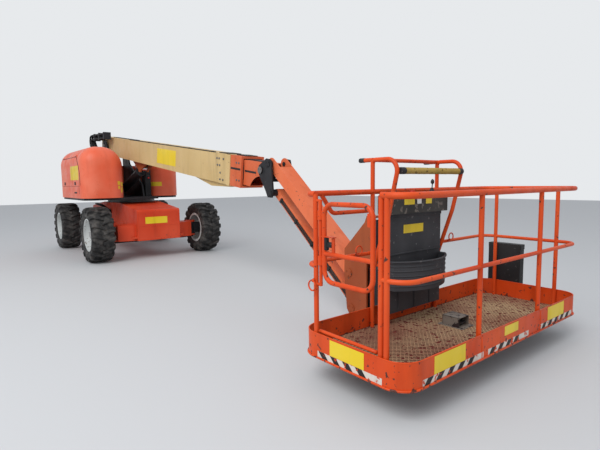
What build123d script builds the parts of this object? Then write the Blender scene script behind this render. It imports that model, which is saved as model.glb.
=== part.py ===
from build123d import *
from math import atan2, cos, degrees, pi, radians, sin
import os

os.makedirs("parts", exist_ok=True)

# Millimetres and degrees. The origin is on the ground under the centre of the turntable, +X runs
# forwards along the stowed boom, +Y to the machine's left and +Z up.

# Running gear: the tyre's section from the bead to the tread, its lugs, and the dished rim
tyre_radius = 500
tyre_width = 400
bead_half = 160
sidewall_radius = 392
tread_half, tread_radius = 168, 458
lug_count = 17
lug_root_width, lug_tip_width = 54, 72
lug_overlap = 12
lug_sweep = 95
lug_sink = 33
lug_drop = 7
rim_radius = 290
rim_wall = 14
rim_flange = 20
rim_disc_thick = 16
rim_dish = 60
rim_hub_radius, rim_hub_thick = 100, 30
wheelbase = 2480
track = 2060
hub_radius = 110

# Chassis
ground_clearance = 350
chassis_half_width = 410
shoulder_z = 640
nose_z = 920
crown_z = 1030
nose_overhang = 50
crown_half_length = 560
nose_round = 50
axle_root_half = 210
axle_tip_half = 150
axle_root_y = 450
axle_tip_y = 715
kingpin_y = 790
kingpin_radius = 28
sleeve_radius = 60
yoke_thick = 34
yoke_gap = 240
steer_arm_length = 230
steer_arm_offset = 25
steer_arm_thick = 30
tie_rod_radius = 16
tie_down_bore = 22
tie_down_round = 42
tie_down_reach = 40
tie_down_thick = 25
tie_down_gap, tie_down_z = 8, 410

# Running clearances: a pin in its hole, a seat between two bodies, and cheeks beside an eye
pin_gap = 0.5
seat_gap = 0.3
cheek_gap = 6

# Turntable
bearing_radius = 470
bearing_ring = 110
bearing_height = 70
deck_thick = 40
deck_inset = 40
upright_inner_y = 196
upright_thick = 34
pivot_x, pivot_z = -1000, 2285
pivot_boss_radius = 120
pivot_pin_radius = 45
counterweight_radius = 1560
counterweight_half_width = 850
counterweight_height = 700

# Hoods: their sides, ends and top, the radii of the long edges, how far below the top the door's
# hinge lies, and the sweep of the door's front corner
right_hood = dict(
    outer=-1150, inner=-370, rear=-1130, front=900, top=2120, outer_round=320, inner_round=370, hinge_drop=170, sweep=380
)
left_hood = dict(
    outer=1050, inner=400, rear=-1130, front=150, top=1960, outer_round=300, inner_round=200, hinge_drop=150, sweep=260
)
hood_wall = 18
hood_front_round = 260
hood_rear_round = 200
door_gap = 5
door_sill = 230
door_margin = 30
door_corner = 40
door_swing_room = 16
hinge_radius, hinge_pin_radius = 9, 4
hinge_half, hinge_ear = 30, 28
hinge_proud = 6
hinge_inset = 330
engine_length, engine_width, engine_height, engine_x = 1050, 430, 620, -200
tank_length, tank_width, tank_height, tank_x = 850, 420, 480, -500

# Hose loop beside the boom's pivot: its distance from the middle and its width
hose_loop_y, hose_loop_width, hose_loop_round = 250, 130, 30

# Telescopic boom, by the distance along it from its pivot
boom_drop = 7.4
base_rear, base_front, base_width, base_height, base_wall = -400, 5625, 340, 400, 10
mid_rear, mid_width, mid_height, mid_wall = 120, 300, 360, 9
mid_collar_length = 272
fly_rear, fly_front, fly_width, fly_height, fly_wall = 190, 6395, 252, 316, 8
pad_length = 180
strip_thick = 10
strips = ((120, 1500, 60), (base_front - 420, base_front - 200, 110))
collar_gap = 2

# Lift cylinder, from its foot on the deck to the bracket under the boom
lift_foot = (-750, 1230)
lift_head = (842, 1713)
lift_barrel_radius = 85
lift_rod_radius = 48
lift_eye_radius = 56
lift_eye_half = 54
lift_pin_radius = 32
lift_cheek = 26
lift_neck, lift_barrel_end, lift_slack = 135, 1470, 7

# Level knuckle on the boom's tip and the two parallel jib arms
level_pin = (5270, 1540)
level_pin_radius = 30
level_nose_radius = 80
knuckle_plate = 20
jib_drop = 40
jib_length = 1700
jib_top = (5420, 1610)
jib_low = (5450, 1270)
jib_pin_radius = 25
beam_width, beam_depth, beam_wall = 200, 140, 12
link_width, link_depth = 110, 90
jib_foot = (5440, 1520)
jib_head_along, jib_head_drop = 1000, 30
jib_barrel_radius = 34
jib_rod_radius = 19
jib_eye_radius = 32
jib_eye_half = 34
jib_eye_pin = 15
jib_lug_thick = 16
jib_neck, jib_barrel_end, jib_slack = 40, 700, 48
bore_bottom = 25
knuckle_tube = (5378, 1418)
knuckle_tube_radius = 20
hose_radius = 9
hose_step = 14
hose_clip_length, hose_clip_count, hose_end_gap = 26, 5, 130

# Jib head and rotator
head_plate = 20
rotator_reach = 317.724
rotator_radius = 95
rotator_low, rotator_high = 165, 615
rotator_back = 184
head_web = 20
head_top_z = 1075

# Platform
platform_setback = 292
platform_depth = 910
platform_length = 2440
floor_z = 226
floor_thick = 20
platform_corner = 150
toe_height = 150
toe_wall = 6
rail_height = 1100
mid_rail_height = 600
rail_radius = 20
mid_rail_radius = 15
guard_height = 1325
guard_reach = 262
guard_y = (-500, 350)
guard_bar_radius = 23
guard_bar_drop = 89
gate_radius = 16
gate_corner = 80
gate_hinge_gap = 48
post_radius = 17
gate_low_z, gate_high_z, gate_bar_z = 736, 1244, 920
gate_rod_radius, gate_rod_margin = 12, 26
gate_ear_radius, gate_sleeve_radius, gate_sleeve_length = 10, 20, 60
gate_sleeve_rise = 104
arm_half_width = 80
arm_thick = 25
console_y = (-450, 270)
console_low, console_high = 330, 1130
console_depth = 80
tray_z, tray_height, tray_wall, tray_lip = 530, 230, 8, 14
tray_flank, tray_reach = 60, 190
control_box_depth, control_box_height, control_box_round = 140, 150, 14
document_box_setback, document_box_length, document_box_depth, document_box_height = 228, 320, 76, 386
document_box_lap = 12
foot_switch_setback, foot_switch_y = 433, 45
foot_switch_plate = (220, 180, 22)
foot_switch_pedal = (150, 130, 60)

# Worked out from the sizes above
axle_x = wheelbase / 2
tie_down_x = axle_x + axle_root_half + tie_down_gap + tie_down_round
chassis_half_length = tie_down_x + nose_overhang
wheel_y = track / 2
axle_z = tyre_radius
deck_z = crown_z + bearing_height + seat_gap
deck_top = deck_z + deck_thick
mid_front = base_front + collar_gap + mid_collar_length
knuckle_y = fly_width / 2 + cheek_gap
jib_dir = Vector(cos(radians(jib_drop)), 0, -sin(radians(jib_drop)))
jib_top_end = (jib_top[0] + jib_length * jib_dir.X, jib_top[1] + jib_length * jib_dir.Z)
jib_low_end = (jib_low[0] + jib_length * jib_dir.X, jib_low[1] + jib_length * jib_dir.Z)
rotator_x = jib_top_end[0] + rotator_reach
platform_rear = rotator_x + platform_setback
platform_front = platform_rear + platform_depth
toe_top = floor_z + toe_height
guard_bar_z = floor_z + guard_height - guard_bar_drop
rail_z = floor_z + rail_height - rail_radius
mid_rail_z = floor_z + mid_rail_height
platform_half = platform_length / 2
rail_inset = toe_wall + seat_gap + rail_radius
rail_front = platform_front - rail_inset
rail_back = platform_rear + rail_inset
rail_end = platform_half - rail_inset
gate_post = platform_front - platform_corner - 45
hinge_post = platform_rear + platform_corner
gate_hinge_x = hinge_post + gate_hinge_gap
boom_dir = Vector(cos(radians(boom_drop)), 0, -sin(radians(boom_drop)))


def side(x=0.0, z=0.0, drop=0.0):
    """Plane of a side profile at (x, z): its x runs forwards, tipped down by drop, its y up."""
    return Plane(origin=(x, 0, z), x_dir=(cos(radians(drop)), 0, -sin(radians(drop))), z_dir=(0, -1, 0))


def boom_side():
    return side(pivot_x, pivot_z, boom_drop)


def across(along):
    """Plane square to the boom at a distance from its pivot: x to the left, y up, z forwards."""
    at = Vector(pivot_x, 0, pivot_z) + boom_dir * along
    return Plane(origin=at, x_dir=(0, 1, 0), z_dir=boom_dir)


def boom_local(x, z):
    """The place (x, z) as a distance along the boom and a height above its axis."""
    at = boom_side().to_local_coords(Vector(x, 0, z))
    return at.X, at.Y


def save(part, name):
    part.label = name
    export_step(part, f"parts/{name}.step")


def slab(plane, outline, thick, both=True):
    """Adds a plate with a closed outline of points to the part being built."""
    with BuildSketch(plane) as shape:
        with BuildLine():
            Polyline(*outline, close=True)
        make_face()
    extrude(shape.sketch, amount=thick, both=both)


def cheek_pair(plane, outline, inner, thick, hole_at=(), hole=0.0):
    """Adds two equal plates, one each side of the plane, from a closed outline, with round holes."""
    for turn in (1, -1):
        with BuildSketch(plane.offset(turn * inner)) as shape:
            with BuildLine():
                Polyline(*outline, close=True)
            make_face()
            if hole_at:
                with Locations(*hole_at):
                    Circle(hole, mode=Mode.SUBTRACT)
        extrude(shape.sketch, amount=turn * thick)


def boss(plane, at, radius, start, stop):
    """Adds a round boss or pin square to the plane at a point, on both sides of it."""
    for turn in (1, -1):
        with BuildSketch(plane.offset(turn * start)) as ring:
            with Locations(at):
                Circle(radius)
        extrude(ring.sketch, amount=turn * (stop - start))


def pin(plane, at, radius, half, mode=Mode.ADD):
    """A round pin right across the plane, or the hole for one."""
    with BuildSketch(plane) as ring:
        with Locations(at):
            Circle(radius)
    extrude(ring.sketch, amount=half, both=True, mode=mode)


def pipe(points, radius, bends=None):
    """A round bar along the points: straight runs, and bends of the given radii at its corners."""
    with BuildLine() as path:
        if bends:
            FilletPolyline(*points, radius=bends)
        else:
            Polyline(*points)
    with BuildPart() as bar:
        for run in path.edges():
            with BuildSketch(Plane(origin=run @ 0, z_dir=run % 0)) as ring:
                Circle(radius)
            if run.geom_type == GeomType.LINE:
                extrude(ring.sketch, amount=run.length)
            else:
                hub = Axis(run.arc_center, (run @ 0 - run.arc_center).cross(run % 0))
                revolve(ring.sketch, axis=hub, revolution_arc=degrees(run.length / run.radius))
    return bar.part


# Tyre: a hollow body in flats, two to a lug, and two rows of slanted lugs set half a step apart
tyre_flats = 2 * lug_count
bead_radius = rim_radius + 4
bead_corner = bead_radius / cos(pi / tyre_flats)
half_section = [(bead_half, bead_corner), (tyre_width / 2, sidewall_radius), (tread_half, tread_radius)]
section = [(-y, radius) for y, radius in half_section] + half_section[::-1]


def tyre_corner(y, radius, flat):
    turn = 2 * pi * flat / tyre_flats
    return (radius * cos(turn), y, radius * sin(turn))


tyre_walls = []
for (y, radius), (next_y, next_radius) in zip(section, section[1:] + section[:1]):
    for flat in range(tyre_flats):
        wall_corners = (
            tyre_corner(y, radius, flat),
            tyre_corner(y, radius, flat + 1),
            tyre_corner(next_y, next_radius, flat + 1),
            tyre_corner(next_y, next_radius, flat),
        )
        tyre_walls.append(Face(Wire.make_polygon(wall_corners)))
tyre_lugs = []
for lug in range(lug_count):
    for s in (1, -1):
        turn = radians((lug + s / 4) * 360 / lug_count)
        radial = Plane(origin=(0, 0, 0), x_dir=(0, s, 0), z_dir=(sin(turn), 0, cos(turn)))
        with BuildSketch(radial.offset(tread_radius - lug_sink)) as foot:
            with BuildLine():
                Polyline(
                    (-lug_overlap, -s * (lug_sweep + lug_root_width) / 2),
                    (-lug_overlap, -s * (lug_sweep - lug_root_width) / 2),
                    (tyre_width / 2, s * (lug_sweep + lug_tip_width) / 2),
                    (tyre_width / 2, s * (lug_sweep - lug_tip_width) / 2),
                    close=True,
                )
            make_face()
        lug_height = tyre_radius - lug_drop - tread_radius + lug_sink
        tyre_lugs.append(extrude(foot.sketch, amount=lug_height, mode=Mode.PRIVATE))
with BuildPart() as lugged_tyre:
    add(Solid(Shell(tyre_walls)))
    add(tyre_lugs[::2])
    add(tyre_lugs[1::2])


# Wheels: each a tyre on a deeply dished rim, the right-hand ones mirrored
def make_wheel(name, x, s):
    hub = Plane(origin=(x, s * wheel_y, axle_z), x_dir=(0, s, 0), z_dir=(s, 0, 0))
    half = bead_half + 4
    barrel = rim_radius - rim_wall - rim_flange
    disc = rim_dish + rim_disc_thick
    seat = bead_radius - seat_gap
    dish_round = rim_hub_radius + 50
    with BuildPart() as tyre:
        with Locations((x, s * wheel_y, axle_z)):
            add(lugged_tyre.part if s > 0 else mirror(lugged_tyre.part, about=Plane.XZ, mode=Mode.PRIVATE))
    with BuildPart() as rim:
        with BuildSketch(hub):
            with BuildLine():
                Polyline(
                    (-half, seat),
                    (-half, barrel),
                    (20, barrel),
                    (rim_dish, dish_round),
                    (rim_dish, 0),
                    (disc + rim_hub_thick, 0),
                    (disc + rim_hub_thick, rim_hub_radius - 10),
                    (disc, rim_hub_radius),
                    (disc, dish_round),
                    (disc - rim_dish + 28, barrel),
                    (half, rim_radius - rim_wall - 4),
                    (half, seat),
                    close=True,
                )
            make_face()
        revolve(axis=Axis((x, s * wheel_y, axle_z), (0, 1, 0)))
    save(tyre.part, f"tyre_{name}")
    save(rim.part, f"rim_{name}")


wheels = (
    ("front_left", axle_x, 1),
    ("front_right", axle_x, -1),
    ("rear_left", -axle_x, 1),
    ("rear_right", -axle_x, -1),
)
for wheel_name, wheel_x, wheel_side in wheels:
    make_wheel(wheel_name, wheel_x, wheel_side)

# Chassis: a welded box with a sloping nose and tail, and a round pedestal for the swing bearing
with BuildPart() as chassis_frame:
    with BuildSketch(side()):
        with BuildLine():
            Polyline(
                (-chassis_half_length, ground_clearance),
                (chassis_half_length, ground_clearance),
                (chassis_half_length, nose_z),
                (crown_half_length, crown_z),
                (-crown_half_length, crown_z),
                (-chassis_half_length, nose_z),
                close=True,
            )
        make_face()
    extrude(amount=chassis_half_width, both=True)
    ends = chassis_frame.edges().filter_by(Axis.Y).filter_by_position(Axis.Z, nose_z - 1, nose_z + 1)
    fillet(ends, nose_round)
    with BuildSketch(Plane.XY.offset(shoulder_z)):
        Circle(bearing_radius + 30)
    extrude(amount=crown_z - shoulder_z)
save(chassis_frame.part, "chassis_frame")

with BuildPart() as swing_bearing:
    with BuildSketch(Plane.XY.offset(crown_z)):
        Circle(bearing_radius)
        Circle(bearing_radius - bearing_ring, mode=Mode.SUBTRACT)
    extrude(amount=bearing_height)
save(swing_bearing.part, "swing_bearing")

# Tie-down lugs: four level ears low on the sides of the chassis, each with a hole for a shackle
with BuildPart() as tie_down_lugs:
    with BuildSketch(Plane.XY.offset(tie_down_z - tie_down_thick / 2)):
        for lug_side in (1, -1):
            root = lug_side * (chassis_half_width + tie_down_reach / 2)
            with Locations((tie_down_x, root), (-tie_down_x, root)):
                Rectangle(2 * tie_down_round, tie_down_reach)
        for lug_side in (1, -1):
            eye = lug_side * (chassis_half_width + tie_down_reach)
            with Locations((tie_down_x, eye), (-tie_down_x, eye)):
                Circle(tie_down_round)
        with Locations((0, 0)):
            Rectangle(2 * chassis_half_length, 2 * chassis_half_width, mode=Mode.SUBTRACT)
        for lug_side in (1, -1):
            eye = lug_side * (chassis_half_width + tie_down_reach)
            with Locations((tie_down_x, eye), (-tie_down_x, eye)):
                Circle(tie_down_bore, mode=Mode.SUBTRACT)
    extrude(amount=tie_down_thick)
save(tie_down_lugs.part, "tie_down_lugs")


# Axles: tapered arms out of the chassis; the front pair ends in yokes, the rear pair in fixed hubs
def make_axle(name, x, steered):
    ear_low = axle_z - yoke_gap / 2 - yoke_thick
    ear_high = axle_z + yoke_gap / 2
    with BuildPart() as axle:
        for s in (1, -1):
            slab(
                Plane.XY.offset(ground_clearance),
                [
                    (x - axle_root_half, s * chassis_half_width),
                    (x + axle_root_half, s * chassis_half_width),
                    (x + axle_root_half, s * axle_root_y),
                    (x + axle_tip_half, s * axle_tip_y),
                    (x - axle_tip_half, s * axle_tip_y),
                    (x - axle_root_half, s * axle_root_y),
                ],
                shoulder_z - ground_clearance,
                both=False,
            )
            if steered:
                for z in (ear_low, ear_high):
                    with BuildSketch(Plane.XY.offset(z)):
                        with Locations((x, s * (axle_tip_y + kingpin_y) / 2 - s * 30)):
                            Rectangle(130, kingpin_y - axle_tip_y + 60)
                        with Locations((x, s * kingpin_y)):
                            Circle(65)
                            Circle(kingpin_radius + pin_gap, mode=Mode.SUBTRACT)
                    extrude(amount=yoke_thick)
            else:
                with BuildSketch(Plane.XZ.offset(-s * axle_tip_y)):
                    with Locations((x, axle_z)):
                        Circle(hub_radius)
                extrude(amount=-s * (wheel_y + rim_dish - axle_tip_y - pin_gap))
    save(axle.part, name)


make_axle("front_axle", axle_x, True)
make_axle("rear_axle", -axle_x, False)


# Steering knuckles: a kingpin sleeve with its pin, the drive hub, and an arm under the yoke
arm_top = axle_z - yoke_gap / 2 - yoke_thick - 5
for knuckle_name, s in (("steer_knuckle_left", 1), ("steer_knuckle_right", -1)):
    with BuildPart() as steer_knuckle:
        with BuildSketch(Plane.XY.offset(axle_z - yoke_gap / 2 + 2)):
            with Locations((axle_x, s * kingpin_y)):
                Circle(sleeve_radius)
        extrude(amount=yoke_gap - 4)
        with BuildSketch(Plane.XY.offset(arm_top)):
            with Locations((axle_x, s * kingpin_y)):
                Circle(kingpin_radius)
        extrude(amount=yoke_gap + 2 * yoke_thick + 14)
        with BuildSketch(Plane.XZ.offset(-s * kingpin_y)):
            with Locations((axle_x, axle_z)):
                Circle(hub_radius)
        extrude(amount=-s * (wheel_y + rim_dish - kingpin_y - pin_gap))
        with BuildSketch(Plane.XY.offset(arm_top - steer_arm_thick)):
            half_arm = (axle_x - steer_arm_length / 2, s * (kingpin_y - steer_arm_offset / 2))
            SlotCenterPoint(half_arm, (axle_x, s * kingpin_y), 56)
        extrude(amount=steer_arm_thick)
    save(steer_knuckle.part, knuckle_name)

with BuildPart() as tie_rod:
    rod_eye_top = arm_top - steer_arm_thick - pin_gap
    rod_half = kingpin_y - steer_arm_offset
    for s in (1, -1):
        with BuildSketch(Plane.XY.offset(rod_eye_top)):
            with Locations((axle_x - steer_arm_length, s * rod_half)):
                Circle(26)
        extrude(amount=-24)
    with BuildSketch(Plane.XZ.offset(-rod_half)):
        with Locations((axle_x - steer_arm_length, rod_eye_top - tie_rod_radius)):
            Circle(tie_rod_radius)
    extrude(amount=2 * rod_half)
save(tie_rod.part, "tie_rod")

# Turntable: the deck with a tray under each hood, the two boom uprights and the cylinder's foot
with BuildPart() as turntable_frame:
    with BuildSketch(Plane.XY.offset(deck_z)):
        with BuildLine():
            Polyline(
                (right_hood["rear"] + deck_inset, right_hood["outer"] + hood_rear_round / 2),
                (right_hood["rear"] + hood_rear_round / 2, right_hood["outer"] + deck_inset),
                (right_hood["front"] - hood_front_round * 0.6, right_hood["outer"] + deck_inset),
                (right_hood["front"] - deck_inset, right_hood["outer"] + hood_front_round * 0.6),
                (right_hood["front"] - deck_inset, right_hood["inner"] + 70),
                (left_hood["front"] + 620, left_hood["inner"] - 100),
                (left_hood["front"] - deck_inset, left_hood["inner"] + 20),
                (left_hood["front"] - deck_inset, left_hood["outer"] - hood_front_round * 0.6),
                (left_hood["front"] - hood_front_round * 0.6, left_hood["outer"] - deck_inset),
                (left_hood["rear"] + hood_rear_round / 2, left_hood["outer"] - deck_inset),
                (left_hood["rear"] + deck_inset, left_hood["outer"] - hood_rear_round / 2),
                close=True,
            )
        make_face()
    extrude(amount=deck_thick)
    cheek_pair(
        side(),
        [
            (pivot_x - pivot_boss_radius, deck_top),
            (180, deck_top),
            (100, deck_top + 260),
            (pivot_x + 330, pivot_z - 420),
            (pivot_x + pivot_boss_radius + 20, pivot_z + 40),
            (pivot_x + 60, pivot_z + pivot_boss_radius),
            (pivot_x - 60, pivot_z + pivot_boss_radius),
            (pivot_x - pivot_boss_radius, pivot_z + 60),
        ],
        upright_inner_y,
        upright_thick,
        [(pivot_x, pivot_z)],
        pivot_pin_radius + seat_gap,
    )
    foot_x, foot_z = lift_foot
    cheek_pair(
        side(),
        [
            (foot_x - 130, deck_top),
            (foot_x + 150, deck_top),
            (foot_x + 62, foot_z + 30),
            (foot_x + 36, foot_z + 62),
            (foot_x - 36, foot_z + 62),
            (foot_x - 62, foot_z + 30),
        ],
        lift_eye_half + cheek_gap,
        lift_cheek,
    )
    pin(side(), lift_foot, lift_pin_radius, lift_eye_half + cheek_gap + lift_cheek + 8)
save(turntable_frame.part, "turntable_frame")

with BuildPart() as boom_pivot_pin:
    pin(side(), (pivot_x, pivot_z), pivot_pin_radius, upright_inner_y + upright_thick + 14)
save(boom_pivot_pin.part, "boom_pivot_pin")

with BuildPart() as counterweight:
    with BuildSketch(Plane.XY.offset(deck_top)):
        Circle(counterweight_radius)
        with Locations((right_hood["rear"] - 4 + counterweight_radius, 0)):
            Rectangle(2 * counterweight_radius, 2 * counterweight_radius, mode=Mode.SUBTRACT)
        with Locations((0, counterweight_half_width + 500), (0, -counterweight_half_width - 500)):
            Rectangle(4 * counterweight_radius, 1000, mode=Mode.SUBTRACT)
    extrude(amount=counterweight_height)
    fillet(counterweight.edges().filter_by(Axis.Z), 30)
    with BuildSketch(Plane.XY.offset(deck_z)):
        with Locations((right_hood["rear"] - 60, 0)):
            Rectangle(200, 2 * counterweight_half_width - 200)
        with Locations((right_hood["rear"] + 140, 0)):
            Rectangle(200, 2 * counterweight_radius, mode=Mode.SUBTRACT)
    extrude(amount=deck_thick)
save(counterweight.part, "counterweight")


# Hoods: rounded hollow shells, open underneath, each with a door cut out of its flat outer side
def hood_block(outer, inner, rear, front, low, top, outer_round, inner_round, front_round, rear_round):
    s = 1 if outer > inner else -1
    plane = Plane(origin=(rear, 0, 0), x_dir=(0, s, 0), z_dir=(s, 0, 0))
    with BuildPart() as block:
        with BuildSketch(plane) as section:
            with BuildLine():
                Polyline((s * outer, low), (s * outer, top), (s * inner, top), (s * inner, low), close=True)
            make_face()
            upper = section.vertices().group_by(Axis.Y)[-1].sort_by(Axis.X)
            fillet(upper[-1], outer_round)
            upper = section.vertices().filter_by_position(Axis.Y, top - 1, top + 1).sort_by(Axis.X)
            fillet(upper[0], inner_round)
        extrude(amount=s * (front - rear))
        for x, radius in ((front, front_round), (rear, rear_round)):
            rim_edges = block.edges().filter_by_position(Axis.X, x - 0.1, x + 0.1)
            rim_edges = rim_edges.filter_by(lambda e: e.center().Z > low + 1)
            fillet(rim_edges, radius)
    return block.part


def hood_room(hood, wall):
    """The room inside a hood, in flats, nowhere nearer the outside than about the wall."""
    s = 1 if hood["outer"] > hood["inner"] else -1
    rear, front, top = hood["rear"] + wall, hood["front"] - wall, hood["top"] - wall
    outline = [(hood["outer"] - s * wall, deck_top)]
    for edge, turns, radius in (
        (hood["outer"], (0, 30, 60, 90), hood["outer_round"]),
        (hood["inner"], (90, 60, 30, 0), hood["inner_round"]),
    ):
        inward = -s if edge == hood["outer"] else s
        for turn in turns:
            reach, rise = (radius - wall) * cos(radians(turn)), (radius - wall) * sin(radians(turn))
            outline.append((edge + inward * (radius - reach), hood["top"] - radius + rise))
    outline.append((hood["inner"] + s * wall, deck_top))
    with BuildPart() as room:
        with BuildSketch(Plane(origin=(rear, 0, 0), x_dir=(0, 1, 0), z_dir=(1, 0, 0))):
            with BuildLine():
                Polyline(*outline, close=True)
            make_face()
        extrude(amount=front - rear)
        cut_front, cut_rear = hood_front_round + 10, hood_rear_round + 10
        with BuildSketch(side()) as profile:
            with BuildLine():
                Polyline(
                    (rear, deck_top), (front, deck_top), (front, top - cut_front), (front - cut_front, top),
                    (rear + cut_rear, top), (rear, top - cut_rear), close=True,
                )
            make_face()
        extrude(profile.sketch, amount=2 * abs(hood["outer"]), both=True, mode=Mode.INTERSECT)
        low_y, high_y = sorted((hood["outer"] - s * wall, hood["inner"] + s * wall))
        with BuildSketch(Plane.XY.offset(deck_top)) as plan:
            with BuildLine():
                Polyline(
                    (rear, low_y + cut_rear), (rear + cut_rear, low_y), (front - cut_front, low_y),
                    (front, low_y + cut_front), (front, high_y - cut_front), (front - cut_front, high_y),
                    (rear + cut_rear, high_y), (rear, high_y - cut_rear), close=True,
                )
            make_face()
        extrude(plan.sketch, amount=hood["top"], mode=Mode.INTERSECT)
    return room.part


def door_outline(hood, gap, top_gap):
    """Sketch of the door or its opening, seen from the side, the front top corner swept."""
    low = deck_top + door_sill
    high = hood["top"] - hood["hinge_drop"]
    rear = hood["rear"] + hood_rear_round + door_margin
    front = hood["front"] - hood_front_round + 2 * door_margin
    with BuildSketch(side()) as shape:
        with Locations(((rear + front) / 2, (low + gap + high - top_gap) / 2)):
            Rectangle(front - rear - 2 * gap, high - low - gap - top_gap)
        corners = shape.vertices().sort_by(lambda v: v.X + v.Y)
        fillet(corners[-1], hood["sweep"] - gap + (door_swing_room if gap else 0))
        corners = shape.vertices().sort_by(lambda v: v.X - v.Y)
        fillet([corners[0], corners[-1]], door_corner)
    return shape.sketch


def hinge_axis(hood):
    """The door's hinge line, a little proud of the hood's rounded shoulder, as (y, z)."""
    s = 1 if hood["outer"] > hood["inner"] else -1
    rise = hood["outer_round"] - hood["hinge_drop"]
    reach = (hood["outer_round"] ** 2 - rise**2) ** 0.5
    scale = 1 + hinge_proud / hood["outer_round"]
    middle_y, middle_z = hood["outer"] - s * hood["outer_round"], hood["top"] - hood["outer_round"]
    return middle_y + s * reach * scale, middle_z + rise * scale


def hinge_bars(hood, radius, spans):
    """Round bars on the hinge line, over (start, end) spans about the middle of each hinge."""
    y, z = hinge_axis(hood)
    bars = []
    for x in (hood["rear"] + hood_rear_round + hinge_inset / 2, hood["front"] - hood["sweep"] - hinge_inset / 2):
        for start, end in spans:
            bars.append(Pos(x + (start + end) / 2, y, z) * Rot(0, 90, 0) * Cylinder(radius, end - start, mode=Mode.PRIVATE))
    return bars


def make_hood(name, hood):
    s = 1 if hood["outer"] > hood["inner"] else -1
    shell_outer = hood_block(
        hood["outer"], hood["inner"], hood["rear"], hood["front"], deck_top, hood["top"],
        hood["outer_round"], hood["inner_round"], hood_front_round, hood_rear_round,
    )
    wall = hood_wall
    shell_inner = hood_block(
        hood["outer"] - s * wall, hood["inner"] + s * wall, hood["rear"] + wall, hood["front"] - wall,
        deck_top, hood["top"] - wall, hood["outer_round"] - wall, hood["inner_round"] - wall,
        hood_front_round - wall, hood_rear_round - wall,
    )
    depth = -s * hood["outer_round"]
    opening = extrude(Pos(0, hood["outer"], 0) * door_outline(hood, 0, 0), amount=-depth)
    leaf = extrude(Pos(0, hood["outer"], 0) * door_outline(hood, door_gap, seat_gap), amount=-depth)
    middle = (-hinge_half, hinge_half)
    ears = ((-hinge_half - hinge_ear, -hinge_half), (hinge_half, hinge_half + hinge_ear))
    ear_bars = ((ears[0][0], ears[0][1] - seat_gap), (ears[1][0] + seat_gap, ears[1][1]))
    notches = ((ears[0][0] - seat_gap, ears[0][1]), (ears[1][0], ears[1][1] + seat_gap))
    with BuildPart() as shell:
        add(shell_outer)
        add(hood_room(hood, wall), mode=Mode.SUBTRACT)
        add(opening, mode=Mode.SUBTRACT)
        add(hinge_bars(hood, hinge_radius + seat_gap, [(middle[0] - seat_gap, middle[1] + seat_gap)]), mode=Mode.SUBTRACT)
        add(hinge_bars(hood, hinge_radius, ear_bars))
        add(hinge_bars(hood, hinge_pin_radius, [(ears[0][0], ears[1][1])]))
    with BuildPart() as door:
        add(shell_outer)
        add(shell_inner, mode=Mode.SUBTRACT)
        add(leaf, mode=Mode.INTERSECT)
        add(hinge_bars(hood, hinge_radius + seat_gap, notches), mode=Mode.SUBTRACT)
        add(hinge_bars(hood, hinge_radius, [middle]))
        add(hinge_bars(hood, hinge_pin_radius + seat_gap, [(middle[0] - 1, middle[1] + 1)]), mode=Mode.SUBTRACT)
    save(shell.part, f"hood_{name}")
    save(door.part, f"door_{name}")


make_hood("right", right_hood)
make_hood("left", left_hood)

# Under the hoods: the engine on the right and the tanks on the left, each as one plain block
with BuildPart() as engine_block:
    with BuildSketch(Plane.XY.offset(deck_top)):
        with Locations((engine_x, right_hood["outer"] / 2 + right_hood["inner"] / 2)):
            Rectangle(engine_length, engine_width)
    extrude(amount=engine_height)
save(engine_block.part, "engine_block")

with BuildPart() as tank_block:
    with BuildSketch(Plane.XY.offset(deck_top)):
        with Locations((tank_x, left_hood["outer"] / 2 + left_hood["inner"] / 2)):
            Rectangle(tank_length, tank_width)
    extrude(amount=tank_height)
save(tank_block.part, "tank_block")

with BuildPart() as ground_control:
    with BuildSketch(Plane.XY.offset(deck_top)):
        with Locations((20, 330)):
            Rectangle(220, 120)
    extrude(amount=620)
    with BuildSketch(Plane.YZ.offset(130)):
        with Locations((330, deck_top + 470)):
            Rectangle(90, 200)
    extrude(amount=22)
save(ground_control.part, "ground_control")

# Hose loop: the bundle stands on the counterweight, bends over beside the pivot and ends forwards
with BuildPart() as hose_loop:
    loop_foot = deck_top + counterweight_height - pivot_z
    loop_outline = [
        (-480, loop_foot),
        (-300, loop_foot),
        (-300, -85),
        (-250, -75),
        (-230, 55),
        (480, 115),
        (570, 165),
        (430, 245),
        (-110, 335),
        (-700, 305),
        (-770, 255),
        (-780, 65),
        (-600, -45),
        (-480, -85),
    ]
    with BuildSketch(Plane.XZ.offset(hose_loop_y)) as loop_shape:
        with BuildLine():
            Polyline(*[(pivot_x + x, pivot_z + z) for x, z in loop_outline], close=True)
        make_face()
        corners = loop_shape.vertices().filter_by(lambda v: v.Y > pivot_z)
        fillet(corners, hose_loop_round)
    extrude(amount=hose_loop_width)
save(hose_loop.part, "hose_loop")


# Boom base: a box beam with a boss for the pivot, a wedge under its front and the lift bracket
def box_beam(rear, front, width, height, wall):
    with BuildSketch(across(rear)) as ring:
        Rectangle(width, height)
        Rectangle(width - 2 * wall, height - 2 * wall, mode=Mode.SUBTRACT)
    extrude(ring.sketch, amount=front - rear)


with BuildPart() as boom_base:
    box_beam(base_rear, base_front, base_width, base_height, base_wall)
    boss(side(), (pivot_x, pivot_z), pivot_boss_radius - 20, base_width / 2, upright_inner_y - cheek_gap)
    pin(side(), (pivot_x, pivot_z), pivot_pin_radius + pin_gap, base_width, mode=Mode.SUBTRACT)
    under = -base_height / 2
    slab(boom_side(), [(4450, under), (5590, under), (5590, under - 26), (5050, under - 78)], base_width / 2 - 40)
save(boom_base.part, "boom_base")

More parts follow.
